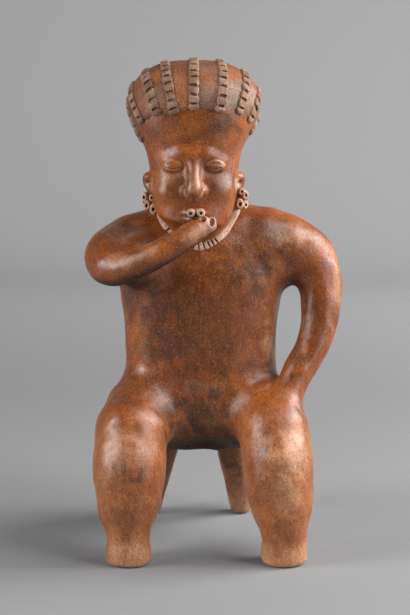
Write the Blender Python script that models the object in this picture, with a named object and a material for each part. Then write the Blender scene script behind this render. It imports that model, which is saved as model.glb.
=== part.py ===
"""A seated figure of burnished red clay on a seat with two rear legs, one hand raised to its mouth.

Metres, +Z up. The figure faces -Y, and its own left side is at +X. The origin is on the ground,
under the middle of the figure. It is one fired piece, so it is one closed solid.
"""

import bmesh
import bpy
import numpy as np
from mathutils import Matrix, Vector
from mathutils.bvhtree import BVHTree

# Driving sizes, in metres
FIGURE_HEIGHT = 0.500
SEAT_THICKNESS = 0.022
SEAT_WIDTH = 0.116
SEAT_DEPTH = 0.096
SEAT_UNDERSIDE = 0.094
SEAT_BACK = 0.093
SEAT_EDGE_RADIUS = 0.0088
REAR_LEG_TOP_RADIUS = 0.0195
REAR_LEG_TIP_RADIUS = 0.0105
REAR_LEG_SPACING = 0.102
REAR_LEG_REACH = 0.0925
REAR_LEG_TUCK = 0.72  # share of its spread and reach that a rear leg keeps at its top
BELOW_GROUND = 0.005  # clay left under the ground, which a flat cut takes off
BRAID_WIDTH = 0.0105
BRAID_RISE = 0.0030
BRAID_NOTCH_PITCH = 0.0098
BRAID_NOTCH_DEPTH = 0.0022
BRAID_PLAIN_PITCH = 0.0180  # length of a step on the plainer back of the head
BRAID_PLAIN_WIDTH = 0.0095
BRAID_PLAIN_RISE = 0.0023
BEAD_RADIUS = 0.0037
BEAD_HOLE_RADIUS = 0.0013
BEAD_HOLE_DEPTH = 0.0020
BEAD_RISE = 0.0030
BEAD_SHOULDER_RISE = 0.0015  # where a bead's side starts to round over
BEAD_FACE_RADIUS = 0.0027
NECKLACE_WIDTH = 0.0080
NECKLACE_RISE = 0.0026
NECKLACE_NOTCH_DEPTH = 0.0018
STRIP_SINK = 0.0030  # how far a braid's or the necklace's underside lies in the clay
EYE_HALF_WIDTH = 0.0092
UPPER_LID_HALF_HEIGHT = 0.0034
LOWER_LID_HALF_HEIGHT = 0.0027
LID_OFF_SLIT = 0.0020
LID_RISE = 0.0022

# How finely the clay is meshed, in metres, passes, triangles and sides
CLAY_GRAIN = 0.0020
SOFTENING_PASSES = 12
BODY_TRIANGLES = 4600
FIGURE_TRIANGLES = 9800
COIL_SIDES = 24
SMALL_COIL_SIDES = 8
BEAD_SIDES = 8
LID_SIDES = 10
LID_RINGS = 6

# Shapes of the clay's pieces
TORSO_SQUARENESS = 2.5  # the power of an oval section: 2 is an ellipse, and more is squarer
HEAD_SQUARENESS = 2.15
END_LENGTH = 0.7  # a small coil's end goes on by this share of its radius, and narrows to the next one
END_SHARE = 0.6
STRIP_TOP_SHARE = 0.78  # how much of its width a strip keeps at its top
BRAID_LOBE = ((0.0, 0.80, 0.0), (0.26, 1.0, 1.0), (0.74, 1.0, 1.0))  # shares of pitch, width and notch filled

# The colour and sheen of the burnished clay
CLAY_COLOUR = (0.262, 0.083, 0.040, 1.0)
CLAY_ROUGHNESS = 0.42

# The free form is in hundredths of the figure's height
HUNDREDTH = FIGURE_HEIGHT / 100
MIDDLE = -2.55  # X of the spine: the bent left arm reaches further than the raised right one
HEAD_MIDDLE = -3.95
SEAT_MIDDLE = -4.0
GROUND_SHIFT = (-0.4, 0.8)  # moves the finished figure's middle over the origin

# Torso sections: height, forward or back of the middle, half width, half depth
TORSO = (
    (19.2, 1.4, 5.0, 4.0),
    (20.6, 1.6, 9.4, 7.4),
    (24.0, 1.6, 14.2, 10.4),
    (29.0, 1.5, 15.7, 11.4),
    (35.0, 0.9, 15.6, 10.6),
    (41.5, 0.2, 15.4, 10.1),
    (47.0, 0.0, 15.8, 10.3),
    (52.5, 0.0, 16.5, 10.5),
    (58.0, 0.3, 17.8, 10.3),
    (63.0, 0.6, 16.6, 9.1),
    (66.8, 0.8, 13.2, 6.8),
    (69.8, 1.0, 7.6, 4.4),
)

# Head sections, from the chin to the crown of the hair: height, forward or back, half width, half depth
HEAD = (
    (64.2, -8.6, 2.2, 2.6),
    (65.6, -8.0, 5.0, 4.6),
    (68.0, -7.1, 7.0, 6.0),
    (71.5, -5.9, 8.3, 7.0),
    (75.5, -4.9, 8.9, 7.6),
    (79.0, -4.1, 9.2, 8.1),
    (82.0, -3.2, 9.9, 8.7),
    (85.0, -2.3, 11.4, 9.8),
    (88.0, -1.6, 12.7, 10.8),
    (91.0, -1.2, 13.2, 11.1),
    (93.6, -1.0, 12.8, 10.7),
    (95.8, -0.9, 11.4, 9.3),
    (97.4, -0.8, 9.5, 7.5),
    (98.6, -0.8, 7.2, 5.6),
    (99.2, -0.8, 4.6, 3.2),
    (99.4, -0.8, 1.8, 1.2),
)

# Coils of clay: X, Y, height, radius
NECK = ((-3.4, 1.4, 58.0, 6.6), (-3.6, 0.6, 66.0, 6.4), (-3.9, -1.6, 74.0, 6.6))
SHOULDERS = (
    (-12.6, 0.4, 63.9, 5.2),
    (-7.0, 0.8, 64.6, 5.7),
    (2.0, 0.8, 65.0, 6.0),
    (9.4, 0.4, 64.4, 6.2),
)
RAISED_ARM = (
    (-10.6, 0.4, 62.8, 6.2),
    (-16.0, -0.4, 62.6, 5.9),
    (-19.8, -3.4, 61.6, 5.3),
    (-21.3, -7.2, 60.4, 4.5),
    (-20.0, -11.0, 59.7, 3.8),
    (-16.0, -14.2, 60.4, 3.1),
    (-10.6, -16.2, 62.9, 2.9),
    (-6.2, -16.2, 65.6, 2.6),
    (-2.8, -14.9, 67.6, 2.3),
)
BENT_ARM = (
    (7.4, 0.4, 62.4, 7.0),
    (13.2, 0.2, 62.1, 7.0),
    (18.9, -0.6, 59.6, 5.8),
    (21.5, -1.8, 54.6, 4.7),
    (21.6, -3.4, 48.8, 4.0),
    (20.4, -5.2, 43.2, 3.6),
    (17.6, -7.2, 38.0, 3.4),
    (15.0, -9.4, 33.4, 3.2),
    (12.8, -11.6, 29.8, 3.2),
)
RIGHT_THIGH = ((-10.6, 0.6, 30.6, 7.6), (-13.8, -5.0, 29.4, 7.6), (-16.4, -11.0, 26.2, 7.2))
LEFT_THIGH = ((5.6, 0.6, 30.0, 7.2), (9.2, -5.0, 29.0, 7.4), (12.0, -11.0, 26.0, 7.0))
ARM_FOLD = ((-11.0, -3.6, 59.8, 6.4), (-14.0, -6.0, 60.0, 6.0), (-17.4, -8.0, 60.0, 4.6))
ARMPIT = ((9.0, 0.0, 58.8, 7.5), (14.4, -0.5, 60.0, 5.7))
RIGHT_SHIN = (
    (-16.6, -12.6, 26.0, 6.8),
    (-16.8, -14.4, 20.5, 7.5),
    (-16.9, -15.0, 15.8, 7.1),
    (-17.1, -15.6, 12.0, 6.3),
    (-17.2, -16.2, 8.6, 5.2),
    (-17.2, -16.4, 5.0, 4.6),
    (-17.2, -16.4, 2.4, 4.8),
    (-17.2, -16.4, 0.6, 4.5),
    (-17.2, -16.4, -0.6, 3.7),
)
LEFT_SHIN = (
    (12.3, -12.6, 26.0, 6.6),
    (12.8, -14.4, 20.5, 7.3),
    (13.1, -15.0, 15.8, 7.1),
    (13.6, -15.6, 12.0, 6.3),
    (14.0, -16.2, 8.6, 5.2),
    (14.1, -16.4, 5.0, 4.6),
    (14.1, -16.4, 2.4, 4.8),
    (14.1, -16.4, 0.6, 4.5),
    (14.1, -16.4, -0.6, 3.7),
)
KNEECAPS = (
    ((-17.4, -17.6, 25.2, 2.6), (-16.6, -18.8, 22.6, 2.8)),
    ((13.2, -17.6, 25.2, 2.6), (12.4, -18.8, 22.6, 2.8)),
)
NOSE = (
    (-3.95, -11.2, 81.8, 0.8),
    (-3.95, -12.6, 78.2, 1.2),
    (-3.95, -14.0, 75.1, 1.7),
    (-3.95, -12.8, 73.9, 1.3),
)
NOSTRILS = ((-5.5, -12.4, 74.6, 1.2), (-3.95, -13.3, 74.6, 1.4), (-2.4, -12.4, 74.6, 1.2))
BROW = (
    (-8.6, -9.6, 80.6, 0.8),
    (-6.4, -11.0, 81.8, 1.1),
    (-3.95, -11.3, 81.4, 1.1),
    (-1.5, -11.0, 81.8, 1.1),
    (0.7, -9.6, 80.6, 0.8),
)
RIGHT_EAR = (
    (-12.2, -4.8, 76.6, 0.7),
    (-13.0, -3.6, 76.3, 1.1),
    (-13.0, -3.4, 75.1, 1.1),
    (-12.2, -4.4, 73.8, 1.0),
)
LEFT_EAR = tuple((2 * HEAD_MIDDLE - x, y, z, radius) for x, y, z, radius in RIGHT_EAR)
RIGHT_EAR_STRING = (
    (-12.4, -3.8, 73.4, 1.1),
    (-12.6, -4.1, 72.1, 1.4),
    (-12.2, -4.6, 70.7, 1.4),
    (-11.2, -5.2, 69.9, 1.1),
)
LEFT_EAR_STRING = (
    (4.6, -3.8, 73.6, 1.1),
    (5.3, -4.1, 72.3, 1.4),
    (4.8, -4.6, 71.1, 1.4),
    (3.6, -5.2, 70.5, 1.1),
)
SOFT_COILS = (
    NECK, SHOULDERS, RAISED_ARM, ARM_FOLD, BENT_ARM, ARMPIT, RIGHT_THIGH, LEFT_THIGH, RIGHT_SHIN, LEFT_SHIN,
    *KNEECAPS, NOSE, NOSTRILS, BROW, RIGHT_EAR, LEFT_EAR, RIGHT_EAR_STRING, LEFT_EAR_STRING,
)

# Small coils, laid on after the big forms are smoothed
LIPS = (
    ((-6.6, -12.0, 70.2, 0.35), (-3.95, -13.1, 70.6, 0.55), (-1.3, -12.0, 70.2, 0.35)),
    ((-6.2, -12.0, 69.3, 0.35), (-3.95, -13.1, 69.1, 0.60), (-1.7, -12.0, 69.3, 0.35)),
)
FINGERS = (
    ((-5.6, -15.6, 67.2, 1.1), (-3.9, -15.0, 69.1, 1.0)),
    ((-2.6, -15.2, 67.4, 0.9), (-1.5, -13.6, 69.6, 0.65)),
    ((-1.4, -14.8, 66.9, 0.9), (-0.1, -13.0, 68.9, 0.60)),
)
SMALL_COILS = (*LIPS, *FINGERS)

# Pierced beads: X, Y, height of the middle, and how far each one faces out to +X
BEADS = (
    (-4.60, -13.4, 71.4, -0.1),
    (-2.62, -13.4, 71.4, 0.1),
    (-13.1, -4.9, 72.7, -0.5),
    (-13.3, -5.2, 71.2, -0.5),
    (-12.4, -5.8, 70.0, -0.2),
    (6.0, -4.9, 72.9, 0.5),
    (5.2, -5.7, 71.5, 0.2),
    (6.0, -5.0, 70.6, 0.5),
)

# Braids lie in planes that fan out round a line from front to back: height of the front end,
# tilt of the front end from upright and tilt over the crown, in degrees
BRAIDS = (
    (84.0, -52, -34),
    (86.4, -38, -29),
    (89.2, -22, -21),
    (89.4, -12, -12),
    (88.8, 0, 0),
    (89.8, 17, 11),
    (89.4, 29, 22),
    (88.4, 38, 31),
    (86.2, 50, 38),
)
BRAID_FAN = (HEAD_MIDDLE, -2.0, 72.0)  # a point on the line that the braids fan out round
BRAID_BACK_HEIGHT = 80.0
BRAID_TURN = 35.0  # degrees in front of the crown over which a braid's tilt changes
BRAID_TURNS = np.arange(20.0, 175.0, 1.0)  # degrees over the head at which a braid's place is found
CARVED_TO = 100.0  # degrees from level at the front to where the braids' notches end

# The necklace lies round the foot of the neck, and drops to the front
NECKLACE_MIDDLE = (-3.25, -1.0)
NECKLACE_AIM = (59.9, -4.8, -0.7)  # height aimed at on the neck's middle: mean, front-to-back, sides
NECKLACE_STEPS = 44
NECKLACE_NOTCHED = 35.0  # degrees to each side of the front that carry notches

EYE_PLACES = (HEAD_MIDDLE - 4.1, HEAD_MIDDLE + 4.1)
EYE_HEIGHT = 79.2
FAR = 60.0  # a distance that is outside the figure from anywhere in it


def smooth_rows(rows, steps):
    """Rows on a Catmull-Rom curve through the given ones, steps to each span."""
    rows = np.array(rows, float)
    padded = np.vstack([2 * rows[0] - rows[1], rows, 2 * rows[-1] - rows[-2]])
    t = np.linspace(0, 1, steps, endpoint=False)[:, None]
    spans = []
    for a, b, c, d in zip(padded, padded[1:], padded[2:], padded[3:]):
        spans.append(
            0.5 * (2 * b + (c - a) * t + (2 * a - 5 * b + 4 * c - d) * t**2 + (3 * b - a - 3 * c + d) * t**3)
        )
    return np.vstack([*spans, rows[-1:]])


def add_rings(clay, rings):
    """Closes a row of rings of points into one skin, with a flat face at each end."""
    count, around = rings.shape[:2]
    verts = [clay.verts.new(point) for point in rings.reshape(-1, 3)]
    for low in range(0, (count - 1) * around, around):
        high = low + around
        for j in range(around):
            k = (j + 1) % around
            clay.faces.new([verts[low + j], verts[low + k], verts[high + k], verts[high + j]])
    clay.faces.new(verts[:around][::-1])
    clay.faces.new(verts[-around:])


def add_column(clay, middle, sections, squareness, around=48):
    """A standing column of oval sections round a middle X."""
    angle = np.linspace(0, 2 * np.pi, around, endpoint=False)
    across = np.sign(np.cos(angle)) * np.abs(np.cos(angle)) ** (2 / squareness)
    along = np.sign(np.sin(angle)) * np.abs(np.sin(angle)) ** (2 / squareness)
    height, forward, wide, deep = smooth_rows(sections, 4).T[:, :, None]
    rings = np.stack([middle + wide * across, forward + deep * along, height + 0 * across], axis=2)
    add_rings(clay, rings * HUNDREDTH)


def add_coil(clay, rows):
    """A rolled coil of clay with round ends, along rows of X, Y, Z and radius in metres.

    Its pieces overlap but aren't joined, which is enough where the clay is meshed afresh.
    """
    line = bpy.data.curves.new("coil", "CURVE")
    line.dimensions = "3D"
    line.bevel_depth = 1
    line.bevel_resolution = COIL_SIDES // 4 - 1
    line.use_fill_caps = True
    spline = line.splines.new("POLY")
    spline.points.add(len(rows) - 1)
    for point, (x, y, z, radius) in zip(spline.points, rows):
        point.co = (x, y, z, 1)
        point.radius = radius
    guide = bpy.data.objects.new("coil", line)
    mesh = bpy.data.meshes.new_from_object(guide)
    clay.from_mesh(mesh)
    bpy.data.objects.remove(guide)
    bpy.data.meshes.remove(mesh)
    for x, y, z, radius in (rows[0], rows[-1]):
        bmesh.ops.create_icosphere(clay, subdivisions=3, radius=radius, matrix=Matrix.Translation((x, y, z)))


def add_small_coil(clay, rows):
    """A closed coil with blunt ends, along rows of X, Y, Z and radius in metres, none of them along Y."""
    rows = np.array(rows)
    way = np.gradient(rows[:, :3], axis=0)
    way /= np.linalg.norm(way, axis=1)[:, None]
    first, last = rows[0].copy(), rows[-1].copy()
    first[:3] -= way[0] * first[3] * END_LENGTH
    last[:3] += way[-1] * last[3] * END_LENGTH
    first[3] *= END_SHARE
    last[3] *= END_SHARE
    rows, way = np.vstack([first, rows, last]), np.vstack([way[:1], way, way[-1:]])
    across = np.cross(way, (0, 1, 0))
    across /= np.linalg.norm(across, axis=1)[:, None]
    along = np.cross(way, across)
    angle = np.linspace(0, 2 * np.pi, SMALL_COIL_SIDES, endpoint=False)[None, :, None]
    ring = across[:, None] * np.cos(angle) + along[:, None] * np.sin(angle)
    add_rings(clay, rows[:, None, :3] + ring * rows[:, None, 3:])


def add_rear_leg(clay, side):
    """A tapered peg under the seat's back edge, splayed out and back."""
    middle = SEAT_MIDDLE * HUNDREDTH
    out = side * REAR_LEG_SPACING / 2
    tip = (middle + out, REAR_LEG_REACH, -BELOW_GROUND, REAR_LEG_TIP_RADIUS)
    top_height = SEAT_UNDERSIDE + SEAT_THICKNESS / 2
    top = (middle + out * REAR_LEG_TUCK, REAR_LEG_REACH * REAR_LEG_TUCK, top_height, REAR_LEG_TOP_RADIUS)
    add_coil(clay, np.array([tip, top]))


def add_seat(clay):
    """The seat's slab, with a rounded edge, from under the thighs to behind the hips."""
    centre = (SEAT_MIDDLE * HUNDREDTH, SEAT_BACK - SEAT_DEPTH / 2, SEAT_UNDERSIDE + SEAT_THICKNESS / 2)
    size = Matrix.Diagonal((SEAT_WIDTH, SEAT_DEPTH, SEAT_THICKNESS, 1))
    slab = bmesh.ops.create_cube(clay, size=1, matrix=Matrix.Translation(centre) @ size)
    edges = list({edge for vert in slab["verts"] for edge in vert.link_edges})
    bmesh.ops.bevel(clay, geom=edges, offset=SEAT_EDGE_RADIUS, segments=4, affect="EDGES", profile=0.5)


def add_strip(clay, spine, normals, half_widths, rises, closed=False):
    """A raised strip of clay on the skin, with sloping sides and its underside sunk in."""
    spine, normals = np.array(spine), np.array(normals)
    ahead, behind = (np.roll(spine, -1, axis=0), np.roll(spine, 1, axis=0)) if closed else (
        np.vstack([spine[1:], spine[-1:]]), np.vstack([spine[:1], spine[:-1]]))
    across = np.cross(ahead - behind, normals)
    across /= np.linalg.norm(across, axis=1)[:, None]
    half_widths, rises = np.array(half_widths)[:, None], np.array(rises)[:, None]
    low, high = spine - normals * STRIP_SINK, spine + normals * rises
    top = half_widths * STRIP_TOP_SHARE
    rings = np.stack(
        [low - across * half_widths, low + across * half_widths, high + across * top, high - across * top],
        axis=1,
    )
    if not closed:
        add_rings(clay, rings)
        return
    verts = [[clay.verts.new(point) for point in ring] for ring in rings]
    for ring, following in zip(verts, verts[1:] + verts[:1]):
        for j in range(4):
            k = (j + 1) % 4
            clay.faces.new([ring[j], ring[k], following[k], following[j]])


def add_bead(clay, x, y, z, outward):
    """A pierced bead, pressed on: a disc with a round edge and a blind hole in its face."""
    facing = Vector((outward, -1.0, 0.0)).normalized()
    place = Matrix.Translation(Vector((x, y, z)) * HUNDREDTH) @ facing.to_track_quat("Z", "X").to_matrix().to_4x4()
    profile = (
        (BEAD_RADIUS, -BEAD_RISE),
        (BEAD_RADIUS, BEAD_SHOULDER_RISE),
        (BEAD_FACE_RADIUS, BEAD_RISE),
        (BEAD_HOLE_RADIUS, BEAD_RISE),
        (BEAD_HOLE_RADIUS * END_SHARE, BEAD_RISE - BEAD_HOLE_DEPTH),
    )
    angle = np.linspace(0, 2 * np.pi, BEAD_SIDES, endpoint=False)
    rings = [[place @ Vector((r * np.cos(a), r * np.sin(a), rise)) for a in angle] for r, rise in profile]
    add_rings(clay, np.array(rings))


def skin_under(tree, outside, towards):
    """The first point of the skin, and its outward normal, on the way from one place to another."""
    start, end = Vector(outside) * HUNDREDTH, Vector(towards) * HUNDREDTH
    point, normal, _, _ = tree.ray_cast(start, (end - start).normalized())
    if point is None:
        raise RuntimeError(f"no clay between {outside} and {towards}")
    return np.array(point), np.array(normal)


def braid_path(tree, front_height, front_tilt, crown_tilt):
    """One braid's middle, from the brow over the crown to the nape.

    It gives the length up to each point, the points, their outward normals and their degrees over the head.
    """
    points, normals, degrees = [], [], []
    for turn in BRAID_TURNS:
        share = np.clip((90 - turn) / BRAID_TURN, 0, 1)
        tilt = np.radians(crown_tilt + (front_tilt - crown_tilt) * share)
        level, rise = np.cos(np.radians(turn)), np.sin(np.radians(turn))
        way = np.array([np.sin(tilt) * rise, -level, np.cos(tilt) * rise])
        point, normal = skin_under(tree, np.array(BRAID_FAN) + way * FAR, BRAID_FAN)
        lowest = front_height if turn < 90 else BRAID_BACK_HEIGHT
        if point[2] > lowest * HUNDREDTH:
            points.append(point)
            normals.append(normal)
            degrees.append(turn)
    points, normals = np.array(points), np.array(normals)
    length = np.concatenate([[0], np.cumsum(np.linalg.norm(np.diff(points, axis=0), axis=1))])
    return length, points, normals, np.array(degrees)


def add_braid(clay, tree, row):
    """One braid: lobes with scalloped edges and a gash between each two, plain behind the crown."""
    length, points, normals, degrees = braid_path(tree, *row)
    carved = np.interp(CARVED_TO, degrees, length)
    lobes = int(carved // BRAID_NOTCH_PITCH)
    stations, widths, rises = [], [], []
    for lobe in range(lobes):
        for share, width, filled in BRAID_LOBE:
            stations.append((lobe + share) * BRAID_NOTCH_PITCH)
            widths.append(width * BRAID_WIDTH)
            rises.append(BRAID_RISE - BRAID_NOTCH_DEPTH * (1 - filled))
    plain = np.arange(lobes * BRAID_NOTCH_PITCH, length[-1], BRAID_PLAIN_PITCH)
    stations.extend(plain)
    widths.extend(BRAID_PLAIN_WIDTH + 0 * plain)
    rises.extend(BRAID_PLAIN_RISE + 0 * plain)
    spine = np.stack([np.interp(stations, length, points[:, axis]) for axis in range(3)], axis=1)
    facing = np.stack([np.interp(stations, length, normals[:, axis]) for axis in range(3)], axis=1)
    facing /= np.linalg.norm(facing, axis=1)[:, None]
    add_strip(clay, spine, facing, np.array(widths) / 2, rises)


def add_necklace(clay, tree):
    """The band round the foot of the neck, notched across at the front."""
    mean, front, sides = NECKLACE_AIM
    spine, facing = [], []
    for turn in np.linspace(0, 2 * np.pi, NECKLACE_STEPS, endpoint=False):
        out = np.array([np.sin(turn), -np.cos(turn), 1.0])
        aim = np.array([*NECKLACE_MIDDLE, mean + front * np.cos(turn) + sides * np.cos(2 * turn)])
        point, normal = skin_under(tree, aim + out * FAR, aim)
        spine.append(point)
        facing.append(normal)
    count = len(spine)
    facing = np.array(facing)
    facing = facing + np.roll(facing, 1, axis=0) + np.roll(facing, -1, axis=0)
    facing /= np.linalg.norm(facing, axis=1)[:, None]
    from_front = np.degrees(np.minimum(np.arange(count), count - np.arange(count)) * 2 * np.pi / count)
    notched = (from_front < NECKLACE_NOTCHED) & (np.arange(count) % 2 == 1)
    rises = np.where(notched, NECKLACE_RISE - NECKLACE_NOTCH_DEPTH, NECKLACE_RISE)
    add_strip(clay, spine, facing, np.full(count, NECKLACE_WIDTH / 2), rises, closed=True)


def add_eyelids(clay, tree, middle):
    """A closed eye: an upper and a lower lid, each a low swelling, that meet along the slit."""
    for half_height, off_slit in ((UPPER_LID_HALF_HEIGHT, LID_OFF_SLIT), (LOWER_LID_HALF_HEIGHT, -LID_OFF_SLIT)):
        level = EYE_HEIGHT + off_slit / HUNDREDTH
        point, normal = skin_under(tree, (middle, -FAR, level), (middle, 0, level))
        turn = Vector(normal).to_track_quat("Z", "Y").to_matrix().to_4x4()
        size = Matrix.Diagonal((EYE_HALF_WIDTH, half_height, LID_RISE, 1))
        place = Matrix.Translation(point) @ turn @ size
        bmesh.ops.create_uvsphere(clay, u_segments=LID_SIDES, v_segments=LID_RINGS, radius=1, matrix=place)


def mesh_object(name, clay):
    """An object that holds the clay, which is closed and faces outward."""
    bmesh.ops.recalc_face_normals(clay, faces=clay.faces[:])
    mesh = bpy.data.meshes.new(name)
    clay.to_mesh(mesh)
    clay.free()
    made = bpy.data.objects.new(name, mesh)
    bpy.context.scene.collection.objects.link(made)
    return made


def settled(made):
    """The object with its modifiers made part of its mesh."""
    graph = bpy.context.evaluated_depsgraph_get()
    mesh = bpy.data.meshes.new_from_object(made.evaluated_get(graph))
    made.modifiers.clear()
    old, made.data = made.data, mesh
    bpy.data.meshes.remove(old)
    return made


def body():
    """The big forms, pressed together and smoothed as wet clay is."""
    clay = bmesh.new()
    add_column(clay, MIDDLE, TORSO, TORSO_SQUARENESS)
    add_column(clay, HEAD_MIDDLE, HEAD, HEAD_SQUARENESS)
    for coil in SOFT_COILS:
        add_coil(clay, smooth_rows(coil, 6) * HUNDREDTH)
    add_seat(clay)
    for side in (-1, 1):
        add_rear_leg(clay, side)
    made = mesh_object("seated_figure", clay)
    fuse = made.modifiers.new("fuse", "REMESH")
    fuse.mode = "VOXEL"
    fuse.voxel_size = CLAY_GRAIN
    soften = made.modifiers.new("soften", "SMOOTH")
    soften.factor = 0.5
    soften.iterations = SOFTENING_PASSES
    return settled(made)


def neck_and_shoulders():
    """A tree of the forms that the necklace lies on, without the head and the arms."""
    clay = bmesh.new()
    add_column(clay, MIDDLE, TORSO, TORSO_SQUARENESS)
    for coil in (NECK, SHOULDERS):
        add_coil(clay, smooth_rows(coil, 6) * HUNDREDTH)
    tree = BVHTree.FromBMesh(clay)
    clay.free()
    return tree


def thin(made, triangles):
    """The object with about the given number of triangles."""
    made.modifiers.new("triangles", "TRIANGULATE")
    settled(made)
    fewer = made.modifiers.new("fewer", "DECIMATE")
    fewer.ratio = triangles / len(made.data.polygons)
    return settled(made)


def join_on(made, clay):
    """Fuses laid-on clay with the object."""
    laid_on = mesh_object("laid_on", clay)
    union = made.modifiers.new("union", "BOOLEAN")
    union.operation = "UNION"
    union.solver = "EXACT"
    union.use_self = True
    union.object = laid_on
    settled(made)
    bpy.data.objects.remove(laid_on)


def cut_at_ground(made):
    """Cuts the feet off flat at Z 0, so that the figure stands on four flat soles, and centres it."""
    clay = bmesh.new()
    clay.from_mesh(made.data)
    geometry = clay.verts[:] + clay.edges[:] + clay.faces[:]
    cut = bmesh.ops.bisect_plane(
        clay, geom=geometry, plane_co=(0, 0, 0), plane_no=(0, 0, 1), clear_inner=True, dist=1e-6
    )
    rims = [item for item in cut["geom_cut"] if isinstance(item, bmesh.types.BMEdge)]
    bmesh.ops.holes_fill(clay, edges=rims)
    bmesh.ops.triangulate(clay, faces=clay.faces[:])
    bmesh.ops.translate(clay, verts=clay.verts[:], vec=Vector((*GROUND_SHIFT, 0)) * HUNDREDTH)
    clay.to_mesh(made.data)
    clay.free()


def burnished_clay():
    material = bpy.data.materials.new("burnished_clay")
    material.use_nodes = True
    shader = material.node_tree.nodes["Principled BSDF"]
    shader.inputs["Base Color"].default_value = CLAY_COLOUR
    shader.inputs["Roughness"].default_value = CLAY_ROUGHNESS
    shader.inputs["Metallic"].default_value = 0.0
    return material


def main():
    for old in list(bpy.data.objects):
        bpy.data.objects.remove(old, do_unlink=True)
    figure = body()
    skin = BVHTree.FromObject(figure, bpy.context.evaluated_depsgraph_get())
    thin(figure, BODY_TRIANGLES)
    laid_on = bmesh.new()
    for row in BRAIDS:
        add_braid(laid_on, skin, row)
    add_necklace(laid_on, neck_and_shoulders())
    for middle in EYE_PLACES:
        add_eyelids(laid_on, skin, middle)
    for coil in SMALL_COILS:
        add_small_coil(laid_on, np.array(coil) * HUNDREDTH)
    for bead in BEADS:
        add_bead(laid_on, *bead)
    join_on(figure, laid_on)
    thin(figure, FIGURE_TRIANGLES)
    cut_at_ground(figure)
    figure.data.materials.clear()
    figure.data.materials.append(burnished_clay())


main()
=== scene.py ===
"""A seated figure of burnished red clay, one hand raised to its mouth, dressed over its packed model.

Metres, +Z up; the figure faces -Y. The free form is written in hundredths of the figure's height, and a
field says how far outside the clay a place is. The skins are that field's zero level, and the hair, the
braids, the necklace and the beads are surfaces of two parameters laid on them.
"""

import math

import bpy
import numpy as np
from bpy.props import FloatProperty, FloatVectorProperty, PointerProperty
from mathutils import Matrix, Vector


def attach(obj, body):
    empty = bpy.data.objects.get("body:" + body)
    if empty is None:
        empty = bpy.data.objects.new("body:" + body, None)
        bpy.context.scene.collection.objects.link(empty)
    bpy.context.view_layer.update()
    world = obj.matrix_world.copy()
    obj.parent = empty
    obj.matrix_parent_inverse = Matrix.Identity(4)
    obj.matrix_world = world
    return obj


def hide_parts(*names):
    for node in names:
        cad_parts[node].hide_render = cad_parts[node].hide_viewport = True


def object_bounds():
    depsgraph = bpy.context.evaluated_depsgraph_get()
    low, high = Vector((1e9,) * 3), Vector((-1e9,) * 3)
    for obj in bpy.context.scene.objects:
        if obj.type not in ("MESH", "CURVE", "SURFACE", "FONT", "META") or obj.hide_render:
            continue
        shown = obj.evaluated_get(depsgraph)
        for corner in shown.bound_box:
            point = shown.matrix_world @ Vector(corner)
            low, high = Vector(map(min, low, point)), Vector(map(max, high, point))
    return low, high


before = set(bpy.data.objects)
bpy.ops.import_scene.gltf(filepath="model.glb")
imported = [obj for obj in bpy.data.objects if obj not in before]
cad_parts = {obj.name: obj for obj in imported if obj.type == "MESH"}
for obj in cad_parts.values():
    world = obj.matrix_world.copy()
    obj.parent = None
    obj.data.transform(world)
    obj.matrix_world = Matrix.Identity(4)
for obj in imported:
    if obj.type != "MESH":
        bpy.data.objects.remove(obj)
cad_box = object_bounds()

bl_info = {
    "name": "Seated Clay Figure",
    "version": (1, 0, 0),
    "blender": (4, 5, 0),
    "location": "3D View > Sidebar > Clay Figure",
    "description": "Builds a burnished clay figure with braided hair on a seat",
    "category": "Add Mesh",
}

NODE = "seated_figure"
HUNDREDTH = (cad_box[1][2] - cad_box[0][2]) / 100
GROUND_SHIFT = np.array((-0.4, 0.8, 0.0))  # from the modelled middle to the standing one, in hundredths

# The free form: hundredths of the figure's height, before the shift
MIDDLE = -2.55
HEAD_MIDDLE = -3.95
TORSO_SQUARENESS = 2.5
HEAD_SQUARENESS = 2.15
SKIN_DRAW = 0.16  # how far the clay's skin draws in as it is smoothed

# Torso sections: height, forward or back of the middle, half width, half depth
TORSO = (
    (19.2, 1.4, 5.0, 4.0),
    (20.6, 1.6, 9.4, 7.4),
    (24.0, 1.6, 14.2, 10.4),
    (29.0, 1.5, 15.7, 11.4),
    (35.0, 0.9, 15.6, 10.6),
    (41.5, 0.2, 15.4, 10.1),
    (47.0, 0.0, 15.8, 10.3),
    (52.5, 0.0, 16.5, 10.5),
    (58.0, 0.3, 17.8, 10.3),
    (63.0, 0.6, 16.6, 9.1),
    (66.8, 0.8, 13.2, 6.8),
    (69.8, 1.0, 7.6, 4.4),
)

# Head sections, from the chin to the crown: height, forward or back, half width, half depth
HEAD = (
    (64.2, -8.6, 2.2, 2.6),
    (65.6, -8.0, 5.0, 4.6),
    (68.0, -7.1, 7.0, 6.0),
    (71.5, -5.9, 8.3, 7.0),
    (75.5, -4.9, 8.9, 7.6),
    (79.0, -4.1, 9.2, 8.1),
    (82.0, -3.2, 9.9, 8.7),
    (85.0, -2.3, 11.4, 9.8),
    (88.0, -1.6, 12.7, 10.8),
    (91.0, -1.2, 13.2, 11.1),
    (93.6, -1.0, 12.8, 10.7),
    (95.8, -0.9, 11.4, 9.3),
    (97.4, -0.8, 9.5, 7.5),
    (98.6, -0.8, 7.2, 5.6),
    (99.2, -0.8, 4.6, 3.2),
    (99.4, -0.8, 1.8, 1.2),
)

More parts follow.
